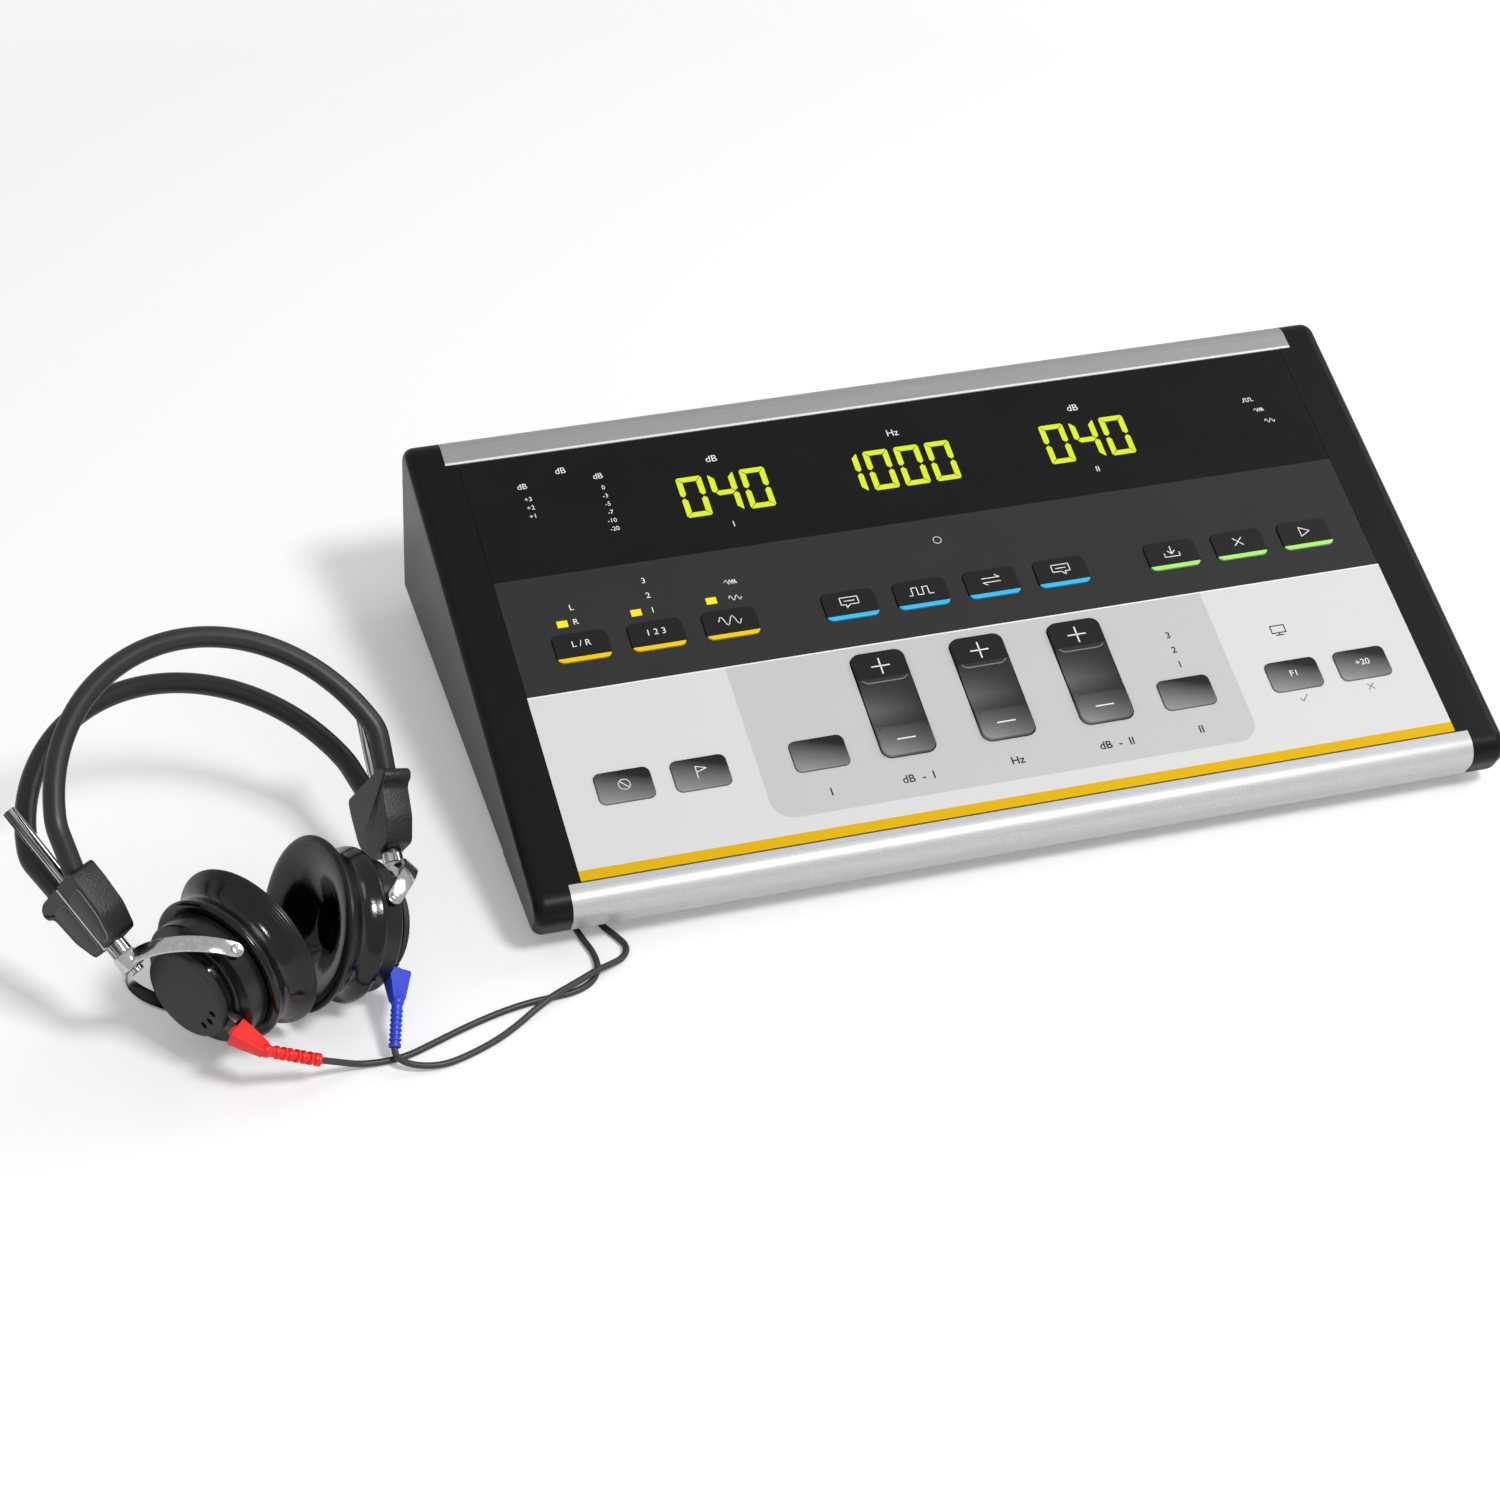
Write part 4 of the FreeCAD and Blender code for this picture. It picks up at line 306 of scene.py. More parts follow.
def moulded(name, tone, roughness, grain=2.2, depth=0.00003, spread=0.06, **plain):
    """Moulded plastic or rubber: fine even grain, faint cloudiness in tone and gloss."""
    look = Look(name, **plain)
    spot = look.spot()
    fine, cloud = look.noise(spot, grain, 3), look.noise(spot, 0.05, 3)
    look.feed("Base Color", look.mix(cloud, shade(tone, 0.75), shade(tone, 1.25)))
    look.feed("Roughness", roughness + (cloud - 0.5) * spread * 2 + (fine - 0.5) * spread)
    look.relief(fine, depth)
    return look


cord_look = moulded("cord_jacket", ink(58, 58, 60), 0.42, grain=1.5, depth=0.00002)
for cord in cords.values():
    cord.data.materials.append(cord_look.material)

# ---------------------------------------------------------------- Cord ties
# Each coil is held by a short woven hook-and-loop strap, closed round it with its end
# lapped over on top.
TIE_TURNS = {"red": 20, "blue": 60}
TIE_WIDE, TIE_THICK, TIE_CORNER = 9, 0.7, 3
TIE_LAP, LAP_INSET, LAP_RISE = 7, 4, 2.4
COIL_INNER, COIL_OUTER, COIL_TALL = 9.8, 18.2, 13.2


def step(x=0, y=0, z=0):
    return Matrix.Translation((x, y, z))


def turned(angle, axis):
    return Matrix.Rotation(math.radians(angle), 4, axis)


def placed(name, shape, look, body):
    """Turns a shape into a piece of the object that rides on a body."""
    mesh = bpy.data.meshes.new(name)
    shape.to_mesh(mesh)
    shape.free()
    mesh.materials.append(look.material)
    piece = bpy.data.objects.new(name, mesh)
    bpy.context.collection.objects.link(piece)
    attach(piece, body)
    return piece


def finished(name, shape, look, body, stands_for=(), crease=32):
    """A smoothly shaded piece, which may stand for some of the solids."""
    bmesh.ops.recalc_face_normals(shape, faces=shape.faces)
    piece = placed(name, shape, look, body)
    piece.data.shade_smooth()
    piece.data.set_sharp_from_angle(angle=math.radians(crease))
    if stands_for:
        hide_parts(*stands_for)
    return piece


def rounded(shape, edges, radius, segments=2):
    """Rounds some edges of a shape."""
    bmesh.ops.bevel(shape, geom=edges, offset=radius, segments=segments, profile=0.5,
                    affect="EDGES", material=-1, clamp_overlap=True)


def block(shape, place, *size):
    """Adds a box of a size with its middle on a place, and gives its corners."""
    return bmesh.ops.create_cube(shape, size=1,
                                 matrix=place @ Matrix.Diagonal((*size, 1)))["verts"]


tie_look = moulded("tie_strap", ink(34, 34, 36), 0.8, grain=3, depth=0.0001)
for colour, turn in TIE_TURNS.items():
    shape = bmesh.new()
    block(shape, step((COIL_INNER + COIL_OUTER) / 2, 0, COIL_TALL / 2 + TIE_THICK),
          COIL_OUTER - COIL_INNER, TIE_WIDE, COIL_TALL)
    shape.normal_update()
    bmesh.ops.delete(shape, geom=[face for face in shape.faces if abs(face.normal.y) > 0.9],
                     context="FACES_ONLY")
    rounded(shape, [edge for edge in shape.edges
                    if abs(edge.verts[0].co.y - edge.verts[1].co.y) > TIE_WIDE / 2],
            TIE_CORNER, 5)
    bmesh.ops.recalc_face_normals(shape, faces=shape.faces)
    bmesh.ops.solidify(shape, geom=list(shape.faces), thickness=-TIE_THICK)
    block(shape, step(COIL_OUTER - LAP_INSET, 0, COIL_TALL + LAP_RISE * TIE_THICK),
          TIE_LAP, TIE_WIDE, TIE_THICK)
    place = Matrix.Translation(CONSOLE + Vector((*COILS[colour][0], 0)))
    shape.transform(place @ turned(turn, "Z") @ MILLIMETRE)
    finished(f"cord_tie_{colour}", shape, tie_look, "console")

# ---------------------------------------------------------------- Boots on the cords
# Moulded in soft PVC in the colour of each ear: a flat tapered grip on the earphone's
# outlet, then a ribbed sleeve that lets the cord bend gently.
OUTLET_TURN = {"left": 167, "right": 194}
OUTLET_REACH, BOOT_BACK = 21, 8.5
GRIP_LENGTH, GRIP_WIDE, GRIP_DEEP, GRIP_NECK = 13.5, 9.4, 7.8, 5.0
FACET_INSET, FACET_DEEP, GRIP_ROUNDING = 1.1, 0.45, 0.9
STEM_RADIUS, KNEE_RADIUS, SLEEVE_FOOT, SLEEVE_TIP = 2.2, 2.6, 2.1, 1.75
RIB_ROUNDING, LAST_GAP, COLLAR_TALL, COLLAR_ROUNDING = 0.35, 0.2, 1.3, 0.3
# Grip: lift and lean. Sleeve: turn, lean and length. Ribs: count, start, radius,
# thickness, and tilt to one side and the other in turn.
BOOTS = {
    "red": ((0.9, 12), (17.8, 35.6, 22.1), (7, 3.0, 2.5, 1.7, 13), ink(250, 38, 34)),
    "blue": ((1.3, 18), (-24.7, -6.9, 17.5), (8, 2.6, 2.35, 1.0, 0), ink(44, 70, 214)),
}
joints = {joint["name"]: joint for joint in frame["joints"]}
# How far each yoke is swivelled and each earphone tilted as the headset lies, in degrees.
LYING = {"left": (1.5, 2), "right": (6, 1)}


def headset_frames(side):
    """Frames in millimetres of a clamp with its rod, of a yoke, and of an earphone."""
    swivel, tilt = joints[f"yoke_swivel_{side}"], joints[f"earphone_tilt_{side}"]
    along, across = Vector(swivel["axis"]), Vector(tilt["axis"])
    axes = Matrix((across.cross(along), across, along)).transposed().to_4x4()
    swivelled, tilted = LYING[side]
    yoke = Matrix.Translation(swivel["pos_m"]) @ axes @ MILLIMETRE
    ear = Matrix.Translation(tilt["pos_m"]) @ axes @ turned(-tilted, "Y") @ MILLIMETRE
    return yoke @ turned(-swivelled, "Z"), yoke, ear


CLAMPS, YOKES, EARS = ({side: headset_frames(side)[part] for side in LYING}
                       for part in range(3))


def disc(shape, place, radius, height, edge=0.0, segments=48, top=None):
    """Adds a round disc or taper that stands on a place, with rounded rims."""
    made = bmesh.ops.create_cone(shape, cap_ends=True, segments=segments, radius1=radius,
                                 radius2=radius if top is None else top, depth=height,
                                 matrix=place @ step(z=height / 2))
    if edge:
        rims = {rim for spot in made["verts"] for rim in spot.link_edges
                if any(len(side.verts) > 4 for side in rim.link_faces)}
        rounded(shape, list(rims), edge)


for colour, ((lift, lean), (bend, slant, length), (ribs, start, rib, thick, zigzag),
             tone) in BOOTS.items():
    side = SIDES[colour]
    look = moulded(f"boot_{colour}", tone, 0.36, grain=1.2, depth=0.00003)
    shape = bmesh.new()
    outlet = turned(OUTLET_TURN[side], "X") @ step(-BOOT_BACK, 0, OUTLET_REACH)
    grip = outlet @ step(z=lift) @ turned(lean, "Y")
    disc(shape, outlet, STEM_RADIUS, GRIP_LENGTH / 2, segments=24)
    body = block(shape, step(z=GRIP_LENGTH / 2), GRIP_WIDE, GRIP_DEEP, GRIP_LENGTH)
    top = [spot for spot in body if spot.co.z > GRIP_LENGTH / 2]
    bmesh.ops.scale(shape, vec=(GRIP_NECK / GRIP_WIDE, GRIP_NECK / GRIP_DEEP, 1), verts=top)
    broad = [face for face in shape.faces if abs(face.calc_center_median().y) > GRIP_DEEP / 4
             and all(spot in body for spot in face.verts)]
    facets = bmesh.ops.inset_individual(shape, faces=broad, thickness=FACET_INSET,
                                        depth=-FACET_DEEP)
    bmesh.ops.transform(shape, matrix=grip, verts=list({
        spot for face in broad + facets["faces"] for spot in face.verts} | set(body)))
    rounded(shape, [edge for edge in shape.edges if all(spot in body for spot in edge.verts)],
            GRIP_ROUNDING)
    knee = grip @ step(z=GRIP_LENGTH)
    bmesh.ops.create_uvsphere(shape, u_segments=24, v_segments=12, radius=KNEE_RADIUS,
                              matrix=knee)
    sleeve = knee @ turned(bend, "X") @ turned(slant, "Y")
    disc(shape, sleeve, SLEEVE_FOOT, length, segments=24, top=SLEEVE_TIP)
    pitch = (length - start - LAST_GAP) / ribs
    for number in range(ribs):
        tilt = turned(zigzag if number % 2 else -zigzag, "X")
        disc(shape, sleeve @ step(z=start + pitch * (number + 0.5)) @ tilt
             @ step(z=-thick / 2), rib, thick, edge=RIB_ROUNDING, segments=28)
    disc(shape, sleeve @ step(z=length - COLLAR_TALL), rib, COLLAR_TALL,
         edge=COLLAR_ROUNDING, segments=28)
    shape.transform(EARS[side])
    finished(f"strain_relief_{colour}", shape, look, f"ear_{side}",
                             [f"boot_{colour}"])

# ---------------------------------------------------------------- Plugs
# Right-angled 6.35 mm plugs: a black moulded body, and a nickel-plated shaft that
# stands in its jack.
METRE = 1000
PLUG_THICKNESS = 0.012
PLUG_BLACK, PLUG_NICKEL = ink(24, 24, 26), ink(205, 203, 198)


def paint(node, look):
    """Gives a carried solid its finish."""
    solid = frame["nodes"][node]
    if not solid.material_slots:
        solid.data.materials.append(look.material)
    for slot in solid.material_slots:
        slot.material = look.material


def part_metal(look, where, plastic, metal, shine, matt=0.42):
    """Turns part of a moulded piece to smooth metal."""
    look.feed("Metallic", where)
    look.feed("Base Color", look.mix(where, plastic, metal))
    look.feed("Roughness", matt - where * shine)


plug_look = moulded("plug_body_and_shaft", PLUG_BLACK, 0.4)
plug_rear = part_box("plug_red")[1][1]
on_shaft = plug_look.axes(plug_look.spot())[1] < (plug_rear - PLUG_THICKNESS) * METRE
part_metal(plug_look, on_shaft, PLUG_BLACK, PLUG_NICKEL, 0.2)
for colour in SIDES:
    paint(f"plug_{colour}", plug_look)

# ---------------------------------------------------------------- Side cheeks
# Black ABS mouldings with a fine spark-eroded grain, one each side of the console,
# screwed to the rails from inside.
CONSOLE_HALF, SKIN = 203, 0.3
CHEEK_BLACK, CHEEK_SIDE_REFLECTION = ink(13, 13, 14), ink(92, 92, 94)
cheek_look = moulded("cheek_plastic", CHEEK_BLACK, 0.38, grain=1.6, depth=0.00002,
                     spread=0.05, Specular_IOR_Level=0.2)
cheek_x = cheek_look.axes(cheek_look.spot())[0]
console_middle = (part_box("left_cheek")[0][0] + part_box("right_cheek")[1][0]) / 2 * METRE
# The outer side faces are painted mid grey: a painted reflection of the pale table on the black
# plastic.
outer_face = abs(cheek_x - console_middle) > CONSOLE_HALF - SKIN
cheek_look.feed("Base Color", cheek_look.mix(outer_face, CHEEK_BLACK, CHEEK_SIDE_REFLECTION))
for side in ("left", "right"):
    paint(f"{side}_cheek", cheek_look)

# ---------------------------------------------------------------- Rails
# Aluminium extrusions painted satin silver, one along the front edge and one along
# the rear. Flakes in the paint sparkle. A painted highlight runs along the rear rail's edge by
# the film, and painted shade along the front rail's edge by it.
TILT = math.radians(15)
FILM_THICKNESS, FILM_DEPTH = 0.0005, 205.3
# Up the slope and down from the film: the painted highlight behind the film, and the
# painted shade in the gap in front of it. The rear rail starts past REAR_FROM, and its
# paint is darker: painted shade, as it slopes away from the lamp.
HIGHLIGHT_FROM, HIGHLIGHT_PAST_FILM, HIGHLIGHT_DEEP = 180, 1.5, 1.2
GAP_SHADE_FROM, GAP_SHADE_TO, GAP_SHADE_DEEP = -0.7, 20, 1.6
REAR_FROM = 120
film_low, film_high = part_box("overlay_film")
PANEL = (Matrix.Translation(((film_low[0] + film_high[0]) / 2, film_low[1],
                             film_low[2] + FILM_THICKNESS * math.cos(TILT)))
         @ Matrix.Rotation(TILT, 4, "X") @ MILLIMETRE)
rail_look = Look("silver_paint", Metallic=0.3)
rail_spot = rail_look.spot(PANEL)
_, up_slope, above = rail_look.axes(rail_spot)
flakes = rail_look.noise(rail_spot, 3.2, 1)
drawn = rail_look.noise(rail_spot, 1.2, 2, stretch=(0.02, 1, 1))
sparkle = ((flakes - 0.5) * 5).held()
sheen = sparkle * 0.5 + drawn * 0.3
# A painted highlight along the rear rail's edge, and painted shade in the gap by the front
# rail's edge.
rail_edge_highlight = up_slope.within(HIGHLIGHT_FROM, FILM_DEPTH + HIGHLIGHT_PAST_FILM) * (above > -HIGHLIGHT_DEEP)
rail_gap_shade = up_slope.within(GAP_SHADE_FROM, GAP_SHADE_TO) * (above > -GAP_SHADE_DEEP)
# One silver lit for the front rail, and one darker as painted shade for the rear rail.
lit_front_silver = rail_look.mix(sheen, ink(192, 192, 193), ink(238, 238, 238))
shaded_rear_silver = rail_look.mix(sheen, ink(150, 151, 152), ink(206, 207, 208))
silver = rail_look.mix(up_slope > REAR_FROM, lit_front_silver, shaded_rear_silver)
silver = rail_look.mix(rail_edge_highlight, silver, ink(252, 252, 252))
rail_look.feed("Base Color", rail_look.mix(rail_gap_shade, silver, ink(96, 94, 84)))
rail_look.feed("Roughness", 0.42 - sparkle * 0.14 - rail_edge_highlight * 0.1)
rail_look.relief(flakes, 0.00002)
for rail in ("front_rail", "rear_rail"):
    paint(rail, rail_look)

# ---------------------------------------------------------------- Printed film
# One sheet of satin polycarbonate, printed on its back: a yellow stripe, a light grey
# field with a darker zone round the rockers, a dark grey band and a black display
# band. It is glued to the plate, and the keys stand through it.
STRIPE_TOP, LIGHT_TOP, DARK_TOP, RULE_HALF = 4.6, 86.1, 143.4, 0.3
ZONE_MIDDLE, ZONE_HALF, ZONE_CORNER = (0, 62), (102, 50), 9
LIGHT_GREY, ZONE_GREY, SPECK_GREY = ink(222, 222, 222), ink(202, 202, 203), (0.35, 0.35, 0.35, 1)
DARK_GREY, BLACK = ink(50, 50, 51), ink(16, 16, 17)
YELLOW, WHITE = ink(228, 182, 0), ink(248, 248, 248)


def inside_box(spot_x, spot_y, middle, half, corner):
    """How far a point lies outside a box with round corners; negative inside it."""
    over_x = abs(spot_x - middle[0]) - (half[0] - corner)
    over_y = abs(spot_y - middle[1]) - (half[1] - corner)
    outside = (over_x.at_least(0) ** 2 + over_y.at_least(0) ** 2) ** 0.5
    return outside + over_x.at_least(over_y).at_most(0) - corner


film_look = Look("printed_film", Specular_IOR_Level=0.12)
film_spot = film_look.spot(PANEL)
across, up_slope, _ = film_look.axes(film_spot)
zone = inside_box(across, up_slope, ZONE_MIDDLE, ZONE_HALF, ZONE_CORNER) < 0
print_colour = film_look.mix(zone, LIGHT_GREY, ZONE_GREY)
print_colour = film_look.mix(up_slope < STRIPE_TOP, print_colour, YELLOW)
print_colour = film_look.mix(up_slope > LIGHT_TOP, print_colour, DARK_GREY)
print_colour = film_look.mix(up_slope > DARK_TOP, print_colour, BLACK)
print_colour = film_look.mix(abs(up_slope - LIGHT_TOP) < RULE_HALF, print_colour, WHITE)
film_cloud, film_grain = film_look.noise(film_spot, 0.03, 2), film_look.noise(film_spot, 2.5, 2)
speckle = (film_grain - 0.45).held() * 0.05 + film_cloud * 0.012
film_look.feed("Base Color", film_look.mix(speckle, print_colour, SPECK_GREY))
film_look.feed("Roughness", 0.36 + (film_cloud - 0.5) * 0.08 + film_grain * 0.08)
film_look.relief(film_grain, 0.000012)
paint("overlay_film", film_look)

# ---------------------------------------------------------------- Lettering on the film
# Screen-printed in white on the dark bands and in black on the light field: plain
# numbers, units, side letters and simple signs.
INK_LIFT = 0.04
CAPITAL_SHARE, BOLDNESS, STROKE_OVERLAP = 0.7, 0.005, 0.7


def lettering(shape, words, across, up, tall, bold=BOLDNESS, lift=INK_LIFT):
    """Adds flat lettering to a shape drawn in the panel's millimetres."""
    curve = bpy.data.curves.new("words", "FONT")
    curve.body = words
    curve.size = tall / CAPITAL_SHARE
    curve.offset = tall * bold
    curve.resolution_u = 4
    curve.align_x = curve.align_y = "CENTER"
    holder = bpy.data.objects.new("words", curve)
    mesh = bpy.data.meshes.new_from_object(holder)
    mesh.transform(step(across, up, lift))
    shape.from_mesh(mesh)
    bpy.data.objects.remove(holder)


def bar(shape, across, up, length, width, angle=0.0, lift=INK_LIFT):
    """Adds a printed stroke."""
    bmesh.ops.create_grid(shape, x_segments=1, y_segments=1, size=0.5, matrix=(
        step(across, up, lift) @ turned(angle, "Z") @ Matrix.Diagonal((length, width, 1, 1))))


def sign(shape, name, across, up, tall, stroke, lift=INK_LIFT):
    """Adds a small sign drawn in strokes, with its corners in shares of its height."""
    for line in SIGNS[name]:
        for (from_x, from_y), (to_x, to_y) in zip(line, line[1:]):
            run = Vector((to_x - from_x, to_y - from_y)) * tall
            bar(shape, across + (from_x + to_x) * tall / 2, up + (from_y + to_y) * tall / 2,
                run.length + stroke * STROKE_OVERLAP, stroke,
                math.degrees(math.atan2(run.y, run.x)), lift)


SINE = tuple((turn / 12 - 1, 0.45 * math.sin(turn / 12 * 2 * math.pi)) for turn in range(25))
RING = tuple((0.5 * math.cos(turn / 12 * math.pi), 0.5 * math.sin(turn / 12 * math.pi))
             for turn in range(25))
BUBBLE = ((-0.8, -0.25), (-0.8, 0.5), (0.8, 0.5), (0.8, -0.25), (0.0, -0.25), (-0.35, -0.6),
          (-0.35, -0.25), (-0.8, -0.25))
SIGNS = {
    "sine": (SINE,),
    "trill": (tuple((turn / 18 - 1, 0.4 * math.sin((turn / 18) ** 1.6 * 2.6 * math.pi))
                    for turn in range(37)),),
    "ring": (RING,),
    "pulse": (((-1.1, -0.4), (-0.8, -0.4), (-0.8, 0.4), (-0.3, 0.4), (-0.3, -0.4),
               (0.2, -0.4), (0.2, 0.4), (0.7, 0.4), (0.7, -0.4), (1.1, -0.4)),),
    "talk_out": (BUBBLE, ((-0.45, 0.12), (0.45, 0.12))),
    "talk_in": (tuple((-x, y) for x, y in BUBBLE), ((-0.45, 0.12), (0.45, 0.12))),
    "swap": (((-0.8, 0.22), (0.8, 0.22), (0.45, 0.5)),
             ((0.8, -0.22), (-0.8, -0.22), (-0.45, -0.5))),
    "keep": (((0, 0.6), (0, -0.2)), ((-0.32, 0.12), (0, -0.2), (0.32, 0.12)),
             ((-0.7, -0.1), (-0.7, -0.5), (0.7, -0.5), (0.7, -0.1))),
    "cross": (((-0.4, -0.4), (0.4, 0.4)), ((-0.4, 0.4), (0.4, -0.4))),
    "tick": (((-0.5, 0.0), (-0.15, -0.4), (0.55, 0.45)),),
    "start": (((-0.4, -0.5), (-0.4, 0.5), (0.5, 0.0), (-0.4, -0.5)),),
    "none": (RING, ((-0.35, 0.35), (0.35, -0.35))),
    "flag": (((-0.35, -0.6), (-0.35, 0.6), (0.55, 0.3), (-0.35, 0.0)),),
    "screen": (((-0.75, -0.3), (-0.75, 0.6), (0.75, 0.6), (0.75, -0.3), (-0.75, -0.3)),
               ((0, -0.3), (0, -0.55)), ((-0.4, -0.6), (0.4, -0.6))),
}


def printed(name, tone):
    """Printing ink: a little uneven, and duller than the film."""
    look = Look(name, Roughness=0.5)
    cloud = look.noise(look.spot(), 1.2, 2)
    look.feed("Base Color", look.mix(cloud * 0.3, tone, shade(tone, 0.8)))
    return look


def laid_print(name, shape, look, body, place):
    """Turns flat printing, drawn face up in a frame, into a piece that rides on a body."""
    for face in shape.faces:
        face.normal_update()
        if face.normal.z < 0:
            face.normal_flip()
    shape.transform(place)
    placed(name, shape, look, body)


white_print = printed("white_print", ink(244, 244, 244))
black_print = printed("black_print", ink(12, 12, 13))
grey_print = printed("grey_print", ink(138, 138, 140))
# Words with their middle and height, then signs with theirs.
WHITE_MARKS = (
    (("dB", -142.4, 194.8, 3.0), ("dB", -159.8, 189.4, 2.8), ("dB", -127.8, 189.4, 2.8),
     ("+3", -158.8, 182.6, 2.2), ("+2", -158.8, 178.2, 2.2), ("+1", -158.8, 173.8, 2.2),
     ("0", -127, 183.2, 2.1), ("-3", -127.2, 178.9, 2.1), ("-5", -127.2, 174.6, 2.1),
     ("-7", -127.2, 170.3, 2.1), ("-10", -127.6, 166, 2.1), ("-20", -127.6, 161.7, 2.1),
     ("dB", -79.1, 190, 3.3), ("I", -78.8, 155.3, 2.8), ("Hz", 0.2, 190, 3.3),
     ("dB", 81, 189.6, 3.3), ("II", 81.2, 155.9, 2.8), ("3", -123, 133.9, 2.7),
     ("2", -123, 126.4, 2.7), ("1", -123, 119, 2.7), ("L", -155, 126.2, 2.8),
     ("R", -154.9, 119, 2.8)),
    (("ring", 2, 132.1, 3.4), ("sine", -88.5, 119, 2.6), ("trill", -88.5, 127, 2.6),
     ("pulse", 158.5, 180.6, 2.2), ("trill", 161.5, 174.6, 2.2), ("sine", 164.4, 168.2, 2.2)),
)
BLACK_MARKS = (
    (("3", 81.5, 67.6, 3.0), ("2", 81.5, 60.2, 3.0), ("1", 81.5, 52.8, 3.0),
     ("dB  -  I", -40.6, 20.6, 3.5), ("Hz", 0.8, 20.8, 3.5), ("dB  -  II", 43, 20.8, 3.5),
     ("I", -76.6, 20.6, 3.5), ("II", 79.3, 20.8, 3.5)),
    (("screen", 128.1, 61.6, 4.0),),
)
GREY_MARKS = ((), (("tick", 126.6, 27.4, 3.4), ("cross", 156.4, 27.6, 3.4)))
# Each ink's boldness of letters and stroke of signs.
for name, look, bold, stroke, (words, signs) in (
        ("white_marks", white_print, BOLDNESS, 0.36, WHITE_MARKS),
        ("black_marks", black_print, 0.02, 0.5, BLACK_MARKS),
        ("grey_marks", grey_print, 0.01, 0.45, GREY_MARKS)):
    shape = bmesh.new()
    for text, across, up, tall in words:
        lettering(shape, text, across, up, tall, bold)
    for kind, across, up, tall in signs:
        sign(shape, kind, across, up, tall, stroke)
    laid_print(name, shape, look, "console", PANEL)

# ---------------------------------------------------------------- Digits and lit lamps
# Seven-segment modules and small square lamps shine through clear places in the
# print. Only the lit segments and lamps show.
SEGMENT_TALL, SEGMENT_WIDE, SEGMENT_PITCH, SEGMENT_STROKE = 20.8, 10.9, 13.6, 2.5
SEGMENT_GAP, SEGMENT_TIP = 0.16, 0.5
SIDE_TIP_DOWN, SIDE_TIP_IN, SIDE_TIP_TOP = 0.9, 0.3, 0.6
DISPLAY_ROW = 172
READINGS = (("040", -77.7), ("1000", -3.4), ("040", 81.9))
LIT = {"0": "abcdef", "1": "bc", "4": "bcfg"}
LAMPS, LAMP_WIDE, LAMP_TALL = ((-160.4, 118.8), (-129.9, 118.9), (-98.5, 119.1)), 4.4, 3.3
UNLIT = (0.02, 0.02, 0.01, 1)


def segment(shape, letter, across):
    """Adds one segment of a digit, mitred against its neighbours."""
    wide, tall, stroke, gap = SEGMENT_WIDE / 2, SEGMENT_TALL / 2, SEGMENT_STROKE, SEGMENT_GAP
    if letter == "g":
        corners = [(-wide + stroke / 2 + gap, 0), (-wide + stroke + gap, stroke / 2),
                   (wide - stroke - gap, stroke / 2), (wide - stroke / 2 - gap, 0),
                   (wide - stroke - gap, -stroke / 2), (-wide + stroke + gap, -stroke / 2)]
    elif letter in "ad":
        flip, tip = 1 if letter == "a" else -1, SEGMENT_TIP
        corners = [(-wide + 2 * gap + tip, flip * tall), (wide - 2 * gap - tip, flip * tall),
                   (wide - 2 * gap, flip * (tall - tip)),
                   (wide - stroke - gap, flip * (tall - stroke)),
                   (-wide + stroke + gap, flip * (tall - stroke)),
                   (-wide + 2 * gap, flip * (tall - tip))]
    else:
        side = 1 if letter in "bc" else -1
        flip = 1 if letter in "bf" else -1
        corners = [(side * wide, flip * (tall - SIDE_TIP_DOWN)),
                   (side * (wide - SIDE_TIP_IN), flip * (tall - SIDE_TIP_TOP)),
                   (side * (wide - stroke), flip * (tall - stroke - 2 * gap)),
                   (side * (wide - stroke), flip * (stroke / 2 + 2 * gap)),
                   (side * (wide - stroke / 2), flip * 2 * gap),
                   (side * wide, flip * (stroke / 2))]
    shape.faces.new([shape.verts.new((across + x, DISPLAY_ROW + y, INK_LIFT))
                     for x, y in corners])


def lit_look(name, tone):
    """A lit lens: light through a diffuser, a little brighter in its middle."""
    look = Look(name, Roughness=0.4, Emission_Strength=1)
    cloud = look.noise(look.spot(), 0.8, 1)
    look.feed("Base Color", UNLIT)
    look.feed("Emission Color", look.mix(cloud * 0.35, tone, shade(tone, 0.8)))
    return look


digit_look = lit_look("lit_digits", ink(222, 240, 10))
for number, (reading, middle) in enumerate(READINGS, start=1):
    shape = bmesh.new()
    for place, digit in enumerate(reading):
        across = middle + (place - (len(reading) - 1) / 2) * SEGMENT_PITCH
        for letter in LIT[digit]:
            segment(shape, letter, across)
    laid_print(f"digits_{number}", shape, digit_look, "console", PANEL)

lamp_look = lit_look("lit_lamps", ink(255, 236, 0))
shape = bmesh.new()
for across, up in LAMPS:
    bar(shape, across, up, LAMP_WIDE, LAMP_TALL)
laid_print("lit_lamps", shape, lamp_look, "console", PANEL)

